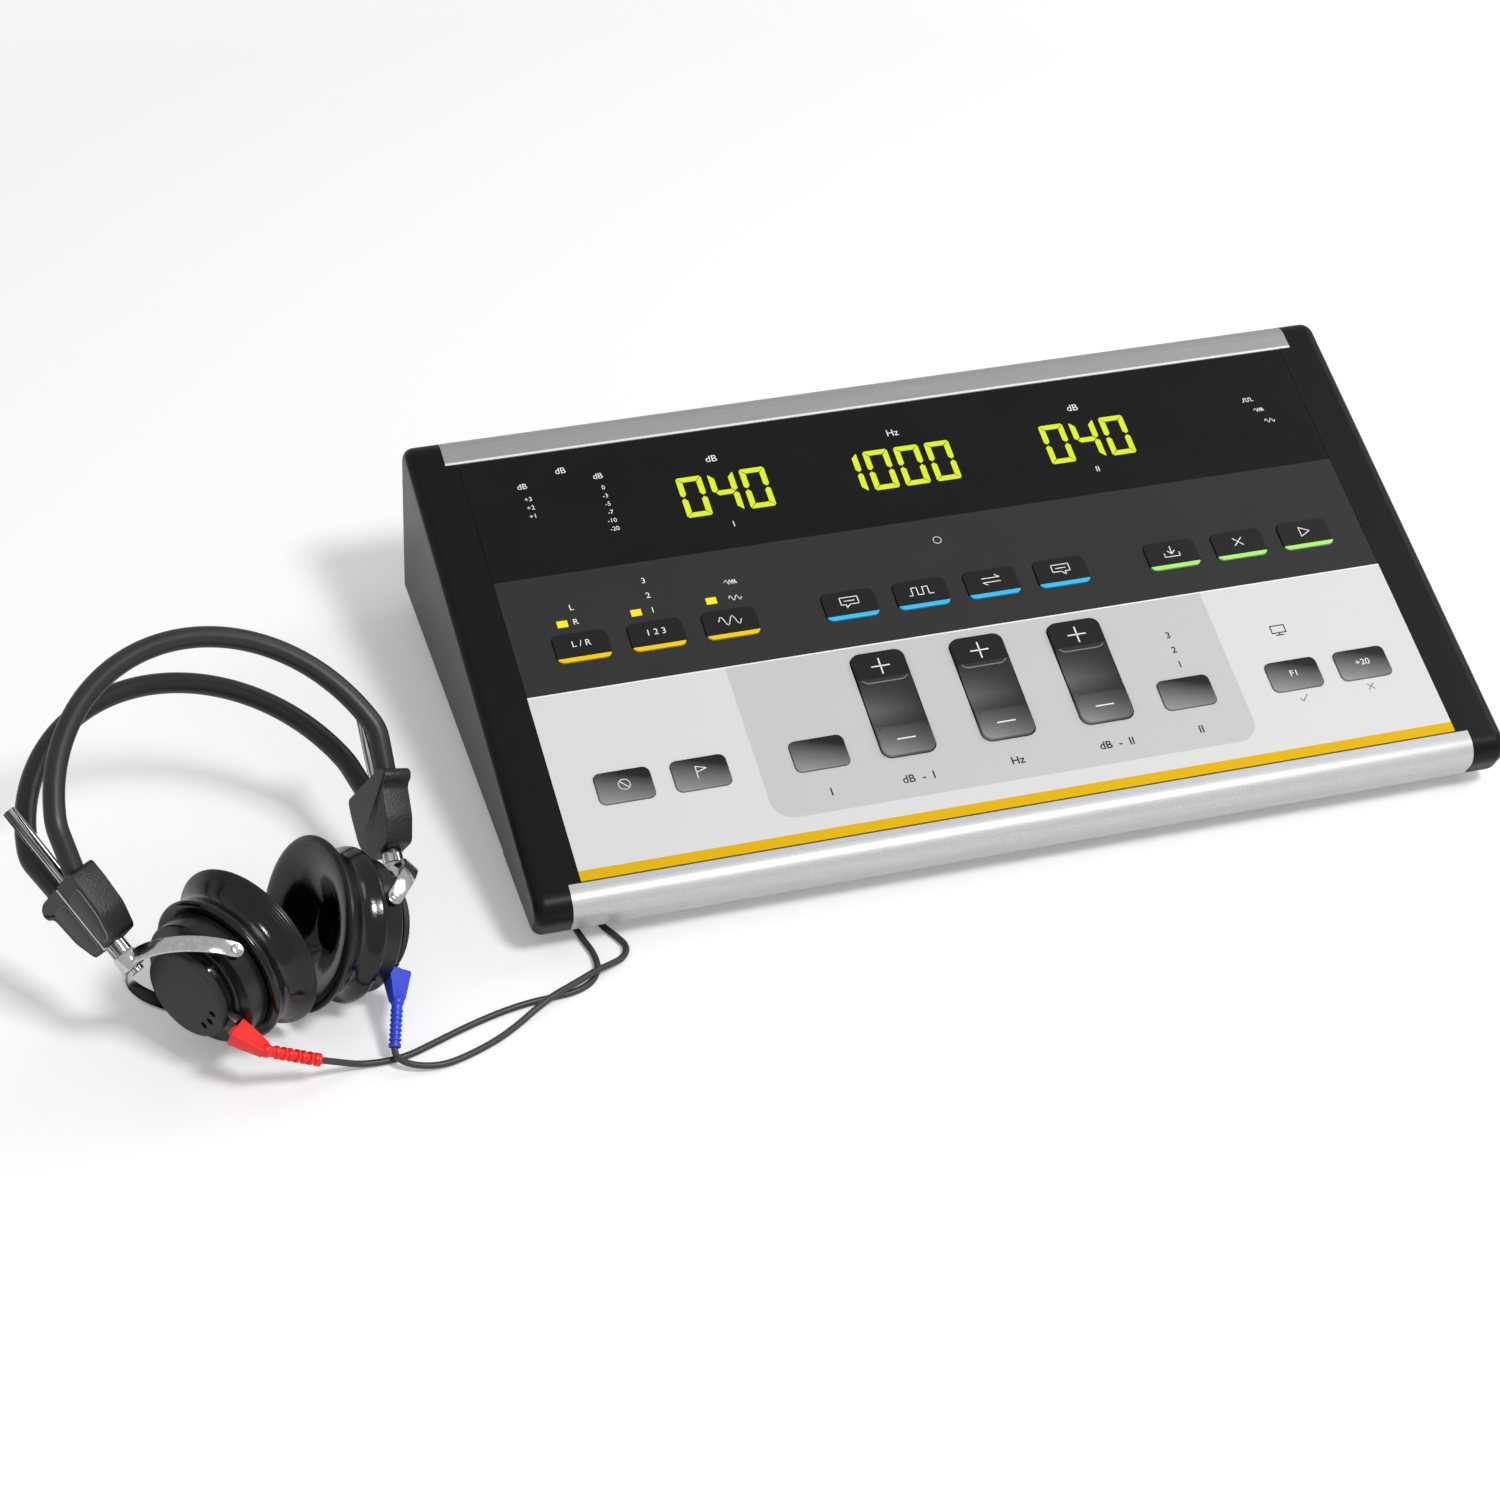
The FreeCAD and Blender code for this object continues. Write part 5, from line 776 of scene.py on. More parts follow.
# ---------------------------------------------------------------- Keys
# Printed polycarbonate caps over dome switches. The upper keys are black with a
# coloured foot; the lower ones fade from black to grey. Each carries a plain sign or
# number.
KEY_YELLOW, KEY_BLUE, KEY_GREEN = ink(250, 205, 0), ink(58, 190, 240), ink(172, 240, 120)
KEY_BLACK, KEY_SPECK = ink(16, 16, 17), ink(28, 28, 30)
UPPER_KEYS = (
    ("key_ear", KEY_YELLOW, "L / R"), ("key_mode", KEY_YELLOW, "1 2 3"),
    ("key_stim_type", KEY_YELLOW, "sine"), ("key_talk_over", KEY_BLUE, "talk_out"),
    ("key_pulse", KEY_BLUE, "pulse"), ("key_invert", KEY_BLUE, "swap"),
    ("key_talk_back", KEY_BLUE, "talk_in"), ("key_save", KEY_GREEN, "keep"),
    ("key_cancel", KEY_GREEN, "cross"), ("key_test", KEY_GREEN, "start"),
)
LOWER_KEYS = (("key_no_response", "none"), ("key_mark", "flag"), ("key_stimulus", ""),
              ("key_masking", ""), ("key_f1", "F1"), ("key_plus_20", "+20"))
# Down from a key's middle to its print's lower edge, and the coloured foot's width.
KEY_REACH, UNDERLINE = 6.85, 1.5
FADE_WIDE, FADE_TALL = 11.2, 7.25
KEY_STAND, SIGN_TALL, SIGN_STROKE, WORD_TALL, MARK_UP = 0.7, 4.7, 0.4, 2.9, 0.8


def cap_place(node):
    """A frame on the panel, at the middle of a cap's outline."""
    low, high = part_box(node)
    middle = PANEL.inverted() @ ((Vector(low) + Vector(high)) / 2)
    return PANEL @ step(middle.x, middle.y, 0)


def key_skin(node, place, colour_at, relief_at=None):
    """A satin cap with a fine grain, over a colour worked out from its place."""
    look = Look(node + "_print", Specular_IOR_Level=0.3)
    spot = look.spot(place)
    across, up, _ = look.axes(spot)
    grain = look.noise(spot, 2.5, 2)
    look.feed("Base Color", colour_at(look, across, up, grain))
    look.feed("Roughness", 0.36 + grain * 0.1)
    if relief_at:
        look.relief(relief_at(across, up, grain), 0.0001)
    else:
        look.relief(grain, 0.000012)
    paint(node, look)


def key_mark(node, mark, place, up=0.0):
    """The white sign or number on a key; it rides on the key."""
    shape = bmesh.new()
    if mark in SIGNS:
        sign(shape, mark, 0, up, SIGN_TALL, SIGN_STROKE, KEY_STAND + INK_LIFT)
    else:
        lettering(shape, mark, 0, up, WORD_TALL, lift=KEY_STAND + INK_LIFT)
    laid_print(node + "_mark", shape, white_print, node + "_body", place)


def fade(look, across, up, grain):
    """From black at the upper right to grey at the lower left."""
    share = 0.3 - up / FADE_TALL * 0.42 - across / FADE_WIDE * 0.2 + (grain - 0.5) * 0.12
    return look.mix(share.held(), ink(22, 22, 24), ink(158, 158, 160))


for node, foot, mark in UPPER_KEYS:
    place = cap_place(node)
    key_skin(node, place, lambda look, across, up, grain, foot=foot: look.mix(
        up < UNDERLINE - KEY_REACH, look.mix(grain * 0.3, KEY_BLACK, KEY_SPECK), foot))
    key_mark(node, mark, place, MARK_UP)
for node, mark in LOWER_KEYS:
    place = cap_place(node)
    key_skin(node, place, fade)
    if mark:
        key_mark(node, mark, place)

# ---------------------------------------------------------------- Rockers
# Three long two-way rockers on steel pins: a plus pad and a minus pad with a shallow
# hollow between, each pad bounded by a fine moulded line. The hollow is painted paler,
# painted light; the plus pad's line carries a painted highlight, the minus pad's painted shade.
ROCKERS = ("rocker_intensity_1", "rocker_frequency", "rocker_intensity_2")
ROCKER_HALF_HEIGHT, ROCKER_STAND = 24.85, 1.6
# The painted light in the hollow: middle and reach. Below MINUS_FADE the minus pad is lighter.
HOLLOW_UP, HOLLOW_REACH, MINUS_FADE = -3, 14, -10.8
# Each pad's line: middle, half size, half width, and the heights between which it shows.
PLUS_PAD = ((0, 18.6), (9.9, 8.3), 0.35, (5, 11.8))
MINUS_PAD = ((0, -18.9), (10.3, 7.9), 0.3, (-14.5, -5))
PAD_CORNER = 3.2
PLUS_UP, MINUS_UP, BAR_LENGTH, BAR_WIDE = 17.6, -17.9, 7.8, 0.62


def pad_line(across, up, pad):
    """The stretch of a pad's line that shows."""
    middle, half, half_line, heights = pad
    edge = abs(inside_box(across, up, middle, half, PAD_CORNER))
    return (1 - edge / half_line).held() * up.within(*heights)


def rocker_colour(look, across, up, grain):
    """Black, paler towards the minus pad's foot, with painted light in the hollow, a painted
    highlight on the plus line and painted shade on the minus line.
    """
    aside = across / FADE_WIDE
    # The hollow is painted paler: painted light.
    hollow = (1 - abs(up - HOLLOW_UP) / HOLLOW_REACH).held() * (0.13 - aside * 0.09)
    foot = ((0 - up) / ROCKER_HALF_HEIGHT - 0.4).held() * (0.62 - aside * 0.3)
    share = (hollow + foot * (up < MINUS_FADE) + (grain - 0.5) * 0.05).held()
    tone = look.mix(share, ink(17, 17, 18), ink(196, 196, 198))
    # A painted highlight along the plus pad's line, and painted shade along the minus pad's
    # line.
    tone = look.mix(pad_line(across, up, PLUS_PAD) * 0.5, tone, ink(180, 180, 182))
    return look.mix(pad_line(across, up, MINUS_PAD) * 0.7, tone, ink(12, 12, 13))


def rocker_relief(across, up, grain):
    return grain * 0.1 + pad_line(across, up, PLUS_PAD) - pad_line(across, up, MINUS_PAD)


for node in ROCKERS:
    place = cap_place(node)
    key_skin(node, place, rocker_colour, rocker_relief)
    shape = bmesh.new()
    for up, angles in ((PLUS_UP, (0, 90)), (MINUS_UP, (0,))):
        for angle in angles:
            bar(shape, 0, up, BAR_LENGTH, BAR_WIDE, angle, ROCKER_STAND + INK_LIFT)
    laid_print(node + "_signs", shape, white_print, node + "_body", place)

# ---------------------------------------------------------------- Headbands
# Two spring-steel wires, each in a thick black satin rubber sleeve, that run side by
# side over the head and end in the clamps.
band_look = moulded("band_sleeve", ink(36, 36, 38), 0.4, grain=0.8, depth=0.00003, spread=0.08)
for node in ("band_front", "band_rear"):
    paint(node, band_look)

# ---------------------------------------------------------------- Clamps
# Black moulded blocks that hold both bands and grip the sliding rod, coarsely grained
# round the sides. The outer face has a smooth raised panel either side of the rod's
# slot, its edge painted light grey as a painted highlight, and a liner in the slot
# whose near-white colour is a painted highlight.
clamp_look = moulded("clamp_plastic", ink(20, 20, 21), 0.4, grain=1.3, depth=0.00025,
                     Specular_IOR_Level=0.5)
# A liner in the rod's slot whose near-white colour is a painted highlight.
slot_highlight_look = moulded("slot_liner_highlight", ink(228, 228, 230), 0.3, grain=2.2, depth=0.00001,
                     Metallic=0.5)
CLAMP_OUTER, CLAMP_INNER = -4.9, 5.9
CLAMP_OUTLINE = ((-9, 3), (9, 3), (13.6, 12), (15, 24), (19.6, 25.6), (19.4, 29.2), (15, 31),
                 (-14.6, 31), (-14.8, 24), (-13.6, 12))
CLAMP_CORNER, CLAMP_RIM, INLAY_CORNER, INLAY_RIM = 2.2, 1.0, 1.9, 0.22
INLAY_RISE, INLAY_SINK, EDGE_DEEP = 0.4, 0.5, 0.05
INLAYS = (((1.5, 4.6), (1.5, 24.5), (12.2, 26), (11.4, 13), (8, 4.6)),
          ((-1.5, 4.6), (-8, 4.6), (-11.6, 13), (-12.6, 25), (-1.5, 24.5)))
SLOT_WIDE, SLOT_DEEP, SLOT_LONG, SLOT_MIDDLE = 1.7, 2.2, 40, 17
ROD_HOLE, ROD_HOLE_FOOT = 2.6, -1
LINER_WIDE, LINER_DEEP, LINER_LONG, LINER_MIDDLE, LINER_EDGE = 0.9, 1.6, 27.8, 16.6, 0.25


def pressed(shape, outline, low, high, corner, rim):
    """Adds a block of an outline in y and z between two heights in x, its edges rounded."""
    face = shape.faces.new([shape.verts.new((low, y, z)) for y, z in outline])
    grown = bmesh.ops.extrude_face_region(shape, geom=[face])
    tops = [item for item in grown["geom"] if isinstance(item, bmesh.types.BMVert)]
    bmesh.ops.translate(shape, vec=(high - low, 0, 0), verts=tops)
    across = [edge for spot in tops for edge in spot.link_edges
              if abs(edge.verts[0].co.x - edge.verts[1].co.x) > 0.01]
    rounded(shape, across, corner, 4)
    rims = [edge for edge in shape.edges
            if abs(edge.verts[0].co.x - edge.verts[1].co.x) < 0.001
            and abs(abs(edge.calc_face_angle(0)) - math.pi / 2) < 0.1]
    rounded(shape, rims, rim, 3)


def pierced(piece, cutters):
    """Cuts shapes out of a piece."""
    mesh = bpy.data.meshes.new("cutters")
    bmesh.ops.recalc_face_normals(cutters, faces=cutters.faces)
    cutters.to_mesh(mesh)
    cutters.free()
    tool = bpy.data.objects.new("cutters", mesh)
    bpy.context.collection.objects.link(tool)
    cut = piece.modifiers.new("cut", "BOOLEAN")
    cut.object = tool
    cut.solver = "EXACT"
    bpy.context.view_layer.update()
    whole = piece.evaluated_get(bpy.context.evaluated_depsgraph_get())
    fresh = bpy.data.meshes.new_from_object(whole)
    piece.modifiers.clear()
    piece.data = fresh
    bpy.data.objects.remove(tool)


def inlay_skin(side, place):
    """Smooth black plastic; the raised panel's edge is painted light grey, a painted highlight.
    """
    look = Look(f"clamp_inlay_{side}", Roughness=0.36)
    spot = look.spot(place)
    grain = look.noise(spot, 2.2, 3)
    # The panel's edge is painted light grey: a painted highlight.
    inlay_edge_highlight = look.axes(spot)[0] > CLAMP_OUTER - INLAY_RISE + EDGE_DEEP
    plain = look.mix(grain * 0.4, ink(30, 30, 32), ink(44, 44, 46))
    look.feed("Base Color", look.mix(inlay_edge_highlight, plain, ink(170, 170, 172)))
    look.relief(grain, 0.00002)
    return look


for side, place in CLAMPS.items():
    shape = bmesh.new()
    pressed(shape, CLAMP_OUTLINE, CLAMP_OUTER, CLAMP_INNER, CLAMP_CORNER, CLAMP_RIM)
    shape.transform(place)
    clamp = finished(f"band_clamp_{side}", shape, clamp_look, "console",
                     [f"clamp_{side}"], crease=40)
    slot = bmesh.new()
    block(slot, step(CLAMP_OUTER, 0, SLOT_MIDDLE), 2 * SLOT_DEEP, SLOT_WIDE, SLOT_LONG)
    disc(slot, step(z=ROD_HOLE_FOOT), ROD_HOLE, SLOT_LONG, segments=32)
    slot.transform(place)
    pierced(clamp, slot)
    shape = bmesh.new()
    for outline in INLAYS:
        raised = bmesh.new()
        pressed(raised, outline, CLAMP_OUTER + INLAY_SINK, CLAMP_OUTER - INLAY_RISE,
                INLAY_CORNER, INLAY_RIM)
        inlay = bpy.data.meshes.new("inlay")
        raised.to_mesh(inlay)
        raised.free()
        shape.from_mesh(inlay)
    shape.transform(place)
    finished(f"clamp_inlay_{side}", shape, inlay_skin(side, place), "console",
             crease=40)
    shape = bmesh.new()
    block(shape, step(CLAMP_OUTER + 0.5, 0, LINER_MIDDLE), LINER_DEEP, LINER_WIDE, LINER_LONG)
    rounded(shape, list(shape.edges), LINER_EDGE)
    shape.transform(place)
    finished(f"slot_liner_highlight_{side}", shape, slot_highlight_look, "console")

# ---------------------------------------------------------------- Rods
# Chrome-plated steel, drawn with a groove along it, with painted reflections in dark and
# bright bands along it; each slides in its clamp and ends in a round collar over the
# yoke's swivel.
for side, place in CLAMPS.items():
    rod_look = Look(f"rod_chrome_{side}", Metallic=1.0)
    drawn = rod_look.noise(rod_look.spot(place), 1.3, 2, stretch=(1, 1, 0.03))
    # Dark and bright bands along the rod: painted reflections, over the fine drawing marks.
    rod_reflection_bands = ((drawn - 0.4) * 4).held()
    rod_look.feed("Base Color", rod_look.mix(rod_reflection_bands, ink(96, 96, 98), ink(250, 250, 250)))
    rod_look.feed("Roughness", 0.07 + drawn * 0.12)
    rod_look.relief(drawn, 0.00004)
    paint(f"rod_{side}", rod_look)

# ---------------------------------------------------------------- Yokes
# Polished steel strip bowed round each earphone, with round ends on the pivot screws,
# riveted to a hub that turns under the rod.
STRIP_WIDE, STRIP_THICK, STRIP_EDGE, STRIP_TAIL, BOW_RADIUS = 6.0, 1.4, 0.25, 3.0, 26.9
PIVOT_X, PIVOT_DROP = 20.8, 27.1
HUB_TOP, HUB_TALL, HUB_RADIUS, HUB_EDGE = -2.3, 6.4, 4.5, 0.5
rise = PIVOT_DROP + HUB_TOP - HUB_TALL / 2
bow_angle = math.degrees(math.atan(PIVOT_X / rise))
bow_lift = math.hypot(PIVOT_X, rise) - BOW_RADIUS
half_bow = math.pi * BOW_RADIUS / 2
half_strip = half_bow + bow_lift + STRIP_TAIL - STRIP_WIDE / 2
yoke_look = Look("yoke_steel", Metallic=1.0)
yoke_spot = yoke_look.spot()
polish = yoke_look.noise(yoke_spot, 0.5, 4)
scratches = yoke_look.noise(yoke_spot, 3, 2, stretch=(0.15, 1, 1))
yoke_look.feed("Base Color", yoke_look.mix(polish, ink(190, 190, 192), ink(244, 244, 244)))
yoke_look.feed("Roughness", 0.06 + scratches * 0.12)
yoke_look.relief(scratches, 0.000015)
for side, place in YOKES.items():
    shape = bmesh.new()
    bmesh.ops.create_grid(shape, x_segments=60, y_segments=1, size=0.5,
                          matrix=Matrix.Diagonal((2 * half_strip, STRIP_WIDE, 1, 1)))
    for end in (-1, 1):
        tip = [edge for edge in shape.edges
               if all(abs(spot.co.x - end * half_strip) < 1e-4 for spot in edge.verts)]
        grown = bmesh.ops.extrude_edge_only(shape, edges=tip)
        moved = [item for item in grown["geom"] if isinstance(item, bmesh.types.BMVert)]
        bmesh.ops.translate(shape, vec=(end * STRIP_WIDE / 2, 0, 0), verts=moved)
        bmesh.ops.bevel(shape, geom=moved, offset=STRIP_WIDE * 0.49, segments=6, profile=0.5,
                        affect="VERTICES", material=-1)
    bmesh.ops.recalc_face_normals(shape, faces=shape.faces)
    bmesh.ops.solidify(shape, geom=list(shape.faces), thickness=STRIP_THICK)
    depths = [spot.co.z for spot in shape.verts]
    bmesh.ops.translate(shape, vec=(0, 0, -(max(depths) + min(depths)) / 2), verts=shape.verts)
    rounded(shape, [edge for edge in shape.edges if edge.calc_face_angle(0) > 1.2], STRIP_EDGE)
    for spot in shape.verts:
        along, reach = abs(spot.co.x), BOW_RADIUS + spot.co.z
        turn = min(along / BOW_RADIUS, math.pi / 2)
        straight = max(along - half_bow, 0)
        spot.co = Vector((spot.co.y, math.copysign(reach * math.sin(turn), spot.co.x),
                          bow_lift + reach * math.cos(turn) - straight))
    shape.transform(step(PIVOT_X, 0, -PIVOT_DROP) @ turned(-bow_angle, "Y"))
    disc(shape, step(z=HUB_TOP - HUB_TALL), HUB_RADIUS, HUB_TALL, edge=HUB_EDGE)
    shape.transform(place)
    finished(f"yoke_strip_{side}", shape, yoke_look, f"yoke_{side}_body",
             [f"yoke_{side}"])

# ---------------------------------------------------------------- Earphones
# Black moulded receivers: a flanged case with a narrower rear body, a flat rear cap
# with three oval vents, a square cord outlet, and a chrome pivot screw on each side.
case_look = moulded("earphone_case", ink(20, 20, 22), 0.26, grain=1.8, depth=0.00001)
cap_look = moulded("earphone_cap", ink(34, 34, 36), 0.5, grain=2.4, depth=0.00004)
screw_look = Look("pivot_screws", Metallic=1.0)
turned_marks = screw_look.noise(screw_look.spot(), 6, 3)
screw_look.feed("Base Color", screw_look.mix(turned_marks, ink(180, 180, 182),
                                             ink(236, 236, 238)))
screw_look.feed("Roughness", 0.15 + turned_marks * 0.15)
CASE_OUTLINE = ((-8.7, 0), (-8.7, 16.3), (-8.5, 16.5), (-5.6, 16.5), (-5.5, 16.6), (-5.2, 19.6),
                (-4.9, 20), (-4.0, 20), (-3.9, 20.2), (-3.9, 24.5), (-3.4, 25), (4.9, 25),
                (5.5, 24.4), (5.5, 0))
CAP_OUTLINE = ((-8.5, 0), (-8.5, 17.4), (-8.8, 17.9), (-10.6, 18), (-11.1, 17.7), (-11.35, 17.1),
               (-11.5, 16), (-11.6, 0))
OUTLET_MIDDLE, OUTLET_SIZE, OUTLET_EDGE = (-5, 0, 15), (7, 8, 12), 0.5
# Vents, drawn as round cutters stretched to ovals.
VENT_REACH, VENT_TURN, VENT_STEP = 12.9, 8, 21
VENT_TALL, VENT_WIDE, VENT_FOOT, VENT_DEEP = 1.6, 1.1, -12, 2.4
# Screws: where each stands, then radius and height.
NECK_SCREW_TURN, NECK_SCREW_X, NECK_SCREW = -80, -6.9, (16.2, 0.9, 0.5)
PIVOT_TURNS, PIVOT_SHANK, PIVOT_HEAD = (90, -90), (24, 1.5, 3.8), (27.6, 1.9, 0.85)
SLOT_REACH, SLOT_TURN, SLOT_SIZE = 28.6, 35, (7, 0.45, 0.7)


def spun(outline, segments=96, closed=False):
    """A shape turned round the x axis from points (x, radius)."""
    shape = bmesh.new()
    spots = [shape.verts.new((x, 0, radius)) for x, radius in outline]
    nexts = spots[1:] + spots[:1] if closed else spots[1:]
    edges = [shape.edges.new(pair) for pair in zip(spots, nexts)]
    bmesh.ops.spin(shape, geom=spots + edges, cent=(0, 0, 0), axis=(1, 0, 0),
                   angle=2 * math.pi, steps=segments, use_merge=True)
    bmesh.ops.remove_doubles(shape, verts=shape.verts, dist=1e-4)
    return shape


def screw(shape, place, size, edge=0.0, segments=24):
    """Adds a round length of a screw, given its height, radius and length."""
    foot, radius, height = size
    disc(shape, place @ step(z=foot), radius, height, edge=edge, segments=segments)


for side, place in EARS.items():
    ear = f"ear_{side}"
    outlet_frame = turned(OUTLET_TURN[side], "X")
    shape = spun(CASE_OUTLINE)
    box = block(shape, outlet_frame @ step(*OUTLET_MIDDLE), *OUTLET_SIZE)
    rounded(shape, list({edge for spot in box for edge in spot.link_edges}), OUTLET_EDGE)
    shape.transform(place)
    finished(f"earphone_case_{side}", shape, case_look, ear,
             [f"earphone_{side}"])
    shape = spun(CAP_OUTLINE)
    shape.transform(place)
    cap = finished(f"earphone_cap_{side}", shape, cap_look, ear)
    vents = bmesh.new()
    for column in (-1, 0, 1):
        spot = (outlet_frame @ turned(VENT_TURN + column * VENT_STEP, "X")
                @ step(VENT_FOOT, 0, VENT_REACH) @ turned(90, "Y")
                @ Matrix.Diagonal((VENT_TALL, VENT_WIDE, 1, 1)))
        disc(vents, spot, 1.0, VENT_DEEP, segments=24)
    vents.transform(place)
    pierced(cap, vents)
    shape = bmesh.new()
    screw(shape, outlet_frame @ turned(NECK_SCREW_TURN, "X") @ step(NECK_SCREW_X),
          NECK_SCREW, edge=0.2, segments=20)
    slots = bmesh.new()
    for angle in PIVOT_TURNS:
        pivot = turned(angle, "X")
        screw(shape, pivot, PIVOT_SHANK)
        screw(shape, pivot, PIVOT_HEAD, edge=0.3, segments=32)
        block(slots, pivot @ step(z=SLOT_REACH) @ turned(SLOT_TURN, "Z"), *SLOT_SIZE)
    shape.transform(place)
    slots.transform(place)
    screws = finished(f"pivot_screws_{side}", shape, screw_look, ear)
    pierced(screws, slots)

# ---------------------------------------------------------------- Ear cushions
# Moulded glossy black rubber: a drum stretched over the case's flange, drawn in a
# little behind a thin flared lip, and a deep smooth dish round the sound hole.
CUSHION_OUTLINE = (
    (5.6, 9.2), (5.6, 24.5), (4.9, 26.6), (4.8, 28.4), (5.3, 29.2), (6.3, 29.4), (7.6, 29.1),
    (9.0, 28.4), (10.8, 27.8), (12.6, 27.4), (14.3, 27.6), (15.8, 28.3), (17.2, 29.3),
    (18.6, 30.5), (20.0, 31.7), (21.2, 32.6), (21.9, 32.95), (22.4, 33.0), (22.8, 32.7),
    (23.2, 31.8), (23.4, 30.0), (23.1, 27.4), (22.4, 24.4), (21.0, 20.4),
    (18.4, 15.6), (15.6, 11.8), (13.6, 9.6), (12.6, 8.9), (9, 9.0), (6.2, 9.0),
)
KNURL_PITCH, LIP_FROM, LIP_REACH = 0.8, 18.6, 30.5
for side, place in EARS.items():
    rubber = Look(f"cushion_rubber_{side}", IOR=1.5)
    rubber_spot = rubber.spot(place)
    along, rubber_y, rubber_z = rubber.axes(rubber_spot)
    reach = (rubber_y ** 2 + rubber_z ** 2) ** 0.5
    cloud, pores = rubber.noise(rubber_spot, 0.12, 4), rubber.noise(rubber_spot, 1.6, 2)
    knurl = (along * (2 * math.pi / KNURL_PITCH)).sine()
    on_lip = (along > LIP_FROM) * (reach > LIP_REACH)
    rubber.feed("Base Color", rubber.mix(cloud, ink(4, 4, 5), ink(16, 16, 18)))
    rubber.feed("Roughness", 0.08 + cloud * 0.12 + on_lip * 0.16)
    rubber.relief(pores * 0.25 + knurl * on_lip * 0.4 + cloud * 1.5, 0.00012)
    shape = spun(CUSHION_OUTLINE, segments=112, closed=True)
    shape.transform(place)
    cushion = finished(f"ear_cushion_{side}", shape, rubber, f"ear_{side}",
                       [f"cushion_{side}"], crease=60)

# ---------------------------------------------------------------- Rear and underside
# Powder-coated steel panel and base pan, rubber feet, black jacks with nickel nuts,
# and a mains inlet with brass blades beside its rocker.
JACK_BLACK, JACK_NICKEL, NUT_LIFT = ink(22, 22, 24), ink(198, 197, 193), 0.02
INLET_BLACK, BRASS = ink(20, 20, 21), ink(212, 186, 120)
# The blades, from the inlet's edge, round their middle, and in from the rear panel.
BLADES_FROM_EDGE, BLADES_HALF, BLADES_DEEP = 14, (9.8, 6.5), (13.9, 4.5)
coat_look = moulded("powder_coat", ink(52, 52, 55), 0.5, grain=0.9, depth=0.00012)
for node in ("rear_panel", "base_pan"):
    paint(node, coat_look)
paint("rubber_feet", moulded("foot_rubber", ink(26, 26, 27), 0.7, grain=0.9, depth=0.00008))
rear_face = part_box("rear_panel")[1][1] * METRE
jack_look = moulded("jack_body_and_nut", JACK_BLACK, 0.4)
on_nut = jack_look.axes(jack_look.spot())[1] > rear_face + NUT_LIFT
part_metal(jack_look, on_nut, JACK_BLACK, JACK_NICKEL, 0.16)
paint("rear_jacks", jack_look)
inlet_low, inlet_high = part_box("power_inlet")
inlet_look = moulded("inlet_body_and_blades", INLET_BLACK, 0.42)
inlet_x, inlet_y, inlet_z = inlet_look.axes(inlet_look.spot())
recess_x = inlet_low[0] * METRE + BLADES_FROM_EDGE
recess_z = (inlet_low[2] + inlet_high[2]) / 2 * METRE
blades = ((abs(inlet_x - recess_x) < BLADES_HALF[0]) * (abs(inlet_z - recess_z) < BLADES_HALF[1])
          * inlet_y.within(*(rear_face - deep for deep in BLADES_DEEP)))
part_metal(inlet_look, blades, INLET_BLACK, BRASS, 0.2)
paint("power_inlet", inlet_look)
paint("power_rocker", moulded("switch_plastic", ink(18, 18, 19), 0.25))

# ---------------------------------------------------------------- Inside the case
# What the shells hide: sheet-metal plate, circuit boards with their parts, supply,
# ribbon cable, pins and screws. Each keeps its own plain finish.
sheet_look = Look("plain_sheet_metal", Metallic=1.0)
brushed = sheet_look.noise(sheet_look.spot(), 1.5, 3, stretch=(0.05, 1, 1))
sheet_look.feed("Base Color", sheet_look.mix(brushed, ink(168, 168, 171), ink(214, 214, 216)))
sheet_look.feed("Roughness", 0.3 + brushed * 0.15)
for node in ("top_plate", "power_supply", "rocker_pins", "case_screws"):
    paint(node, sheet_look)
board_look = Look("circuit_board", Roughness=0.45)
tracks = board_look.noise(board_look.spot(), 0.25, 2, stretch=(1, 0.2, 1))
board_look.feed("Base Color", board_look.mix((tracks > 0.52) * 0.5, ink(16, 78, 44),
                                             ink(42, 122, 70)))
for node in ("key_board", "main_board"):
    paint(node, board_look)
paint("dome_switches", moulded("switch_domes", ink(30, 30, 32), 0.45))
paint("display_modules", moulded("display_lens", ink(18, 18, 18), 0.3))
paint("status_leds", moulded("lamp_lens", ink(226, 214, 120), 0.35))
paint("ribbon_cable", moulded("ribbon_grey", ink(150, 150, 154), 0.5))

# ---------------------------------------------------------------- Table and light
# A plain white table, a broad soft lamp overhead in front, a second from the right,
# and an even pale surround.
TABLE_SIZE, TABLE_GLOW = 8, 0.22
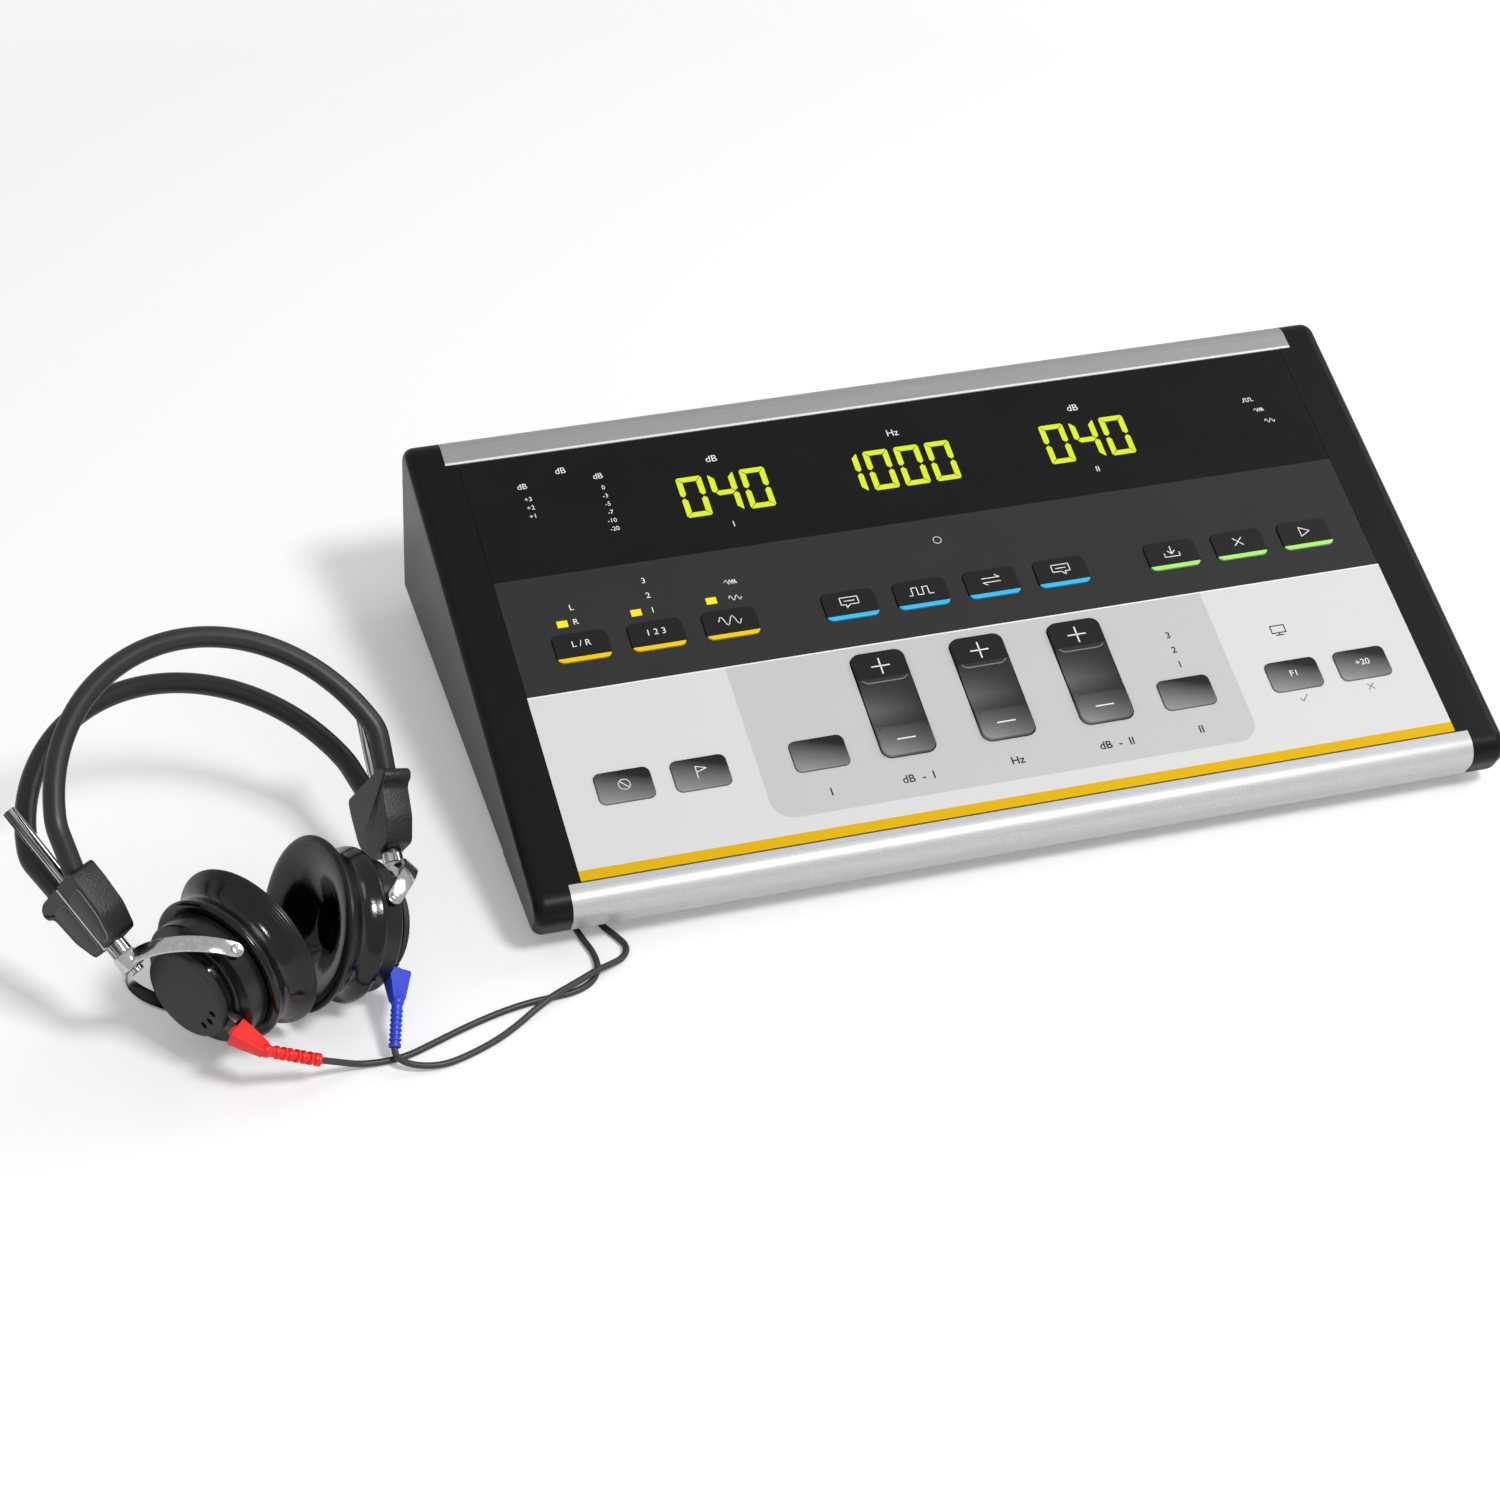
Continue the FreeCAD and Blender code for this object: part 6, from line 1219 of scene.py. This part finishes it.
# The table brightens to plain white from FADE_FROM, over FADE_OVER, in metres.
FADE_FROM, FADE_OVER, FAR_GLOW = 0.6, 1.4, 0.6
SURROUND_LIGHT, SURROUND_SHINE = 0.42, 0.5
floor_shape = bmesh.new()
bmesh.ops.create_grid(floor_shape, x_segments=1, y_segments=1, size=TABLE_SIZE / 2)
floor_mesh = bpy.data.meshes.new("table")
floor_shape.to_mesh(floor_mesh)
floor_shape.free()
table = bpy.data.objects.new("table", floor_mesh)
bpy.context.collection.objects.link(table)
table_look = Look("table_top", Base_Color=(0.9, 0.9, 0.9, 1), Roughness=0.7,
                  Specular_IOR_Level=0.1, Emission_Color=(1, 1, 1, 1))
table_x, table_y, _ = table_look.axes(table_look.spot(Matrix.Identity(4)))
away = (((table_x ** 2 + table_y ** 2) ** 0.5 - FADE_FROM) / FADE_OVER).held()
seen = table_look.node("LightPath", out="Is Camera Ray")
table_look.feed("Emission Strength", seen * (TABLE_GLOW + away * FAR_GLOW))
table.data.materials.append(table_look.material)

world = bpy.data.worlds.new("surround")
bpy.context.scene.world = world
world.use_nodes = True
world_tree = world.node_tree
ray = world_tree.nodes.new("ShaderNodeLightPath")
camera_ray, glossy_ray, clear_ray = (Wire(world_tree, ray.outputs[kind]) for kind in (
    "Is Camera Ray", "Is Glossy Ray", "Is Transmission Ray"))
strength = camera_ray.at_least(clear_ray).at_least(glossy_ray * SURROUND_SHINE)
background = world_tree.nodes["Background"]
background.inputs["Color"].default_value = (1, 1, 1, 1)
world_tree.links.new(strength.at_least(SURROUND_LIGHT).socket, background.inputs["Strength"])


def lamp(name, spot, target, size, power):
    """A square soft lamp aimed at a point."""
    data = bpy.data.lights.new(name, "AREA")
    data.shape, data.size, data.energy = "SQUARE", size, power
    light = bpy.data.objects.new(name, data)
    aim = (Vector(target) - Vector(spot)).to_track_quat("-Z", "Y")
    light.matrix_world = Matrix.Translation(spot) @ aim.to_matrix().to_4x4()
    bpy.context.collection.objects.link(light)


lamp("front_lamp", (0.55, -0.85, 1.7), (0, -0.05, 0), 0.4, 21)
lamp("right_lamp", (1.5, 0.4, 1.2), (0, 0, 0), 0.8, 5)

scene = bpy.context.scene
scene.view_settings.view_transform = "Standard"
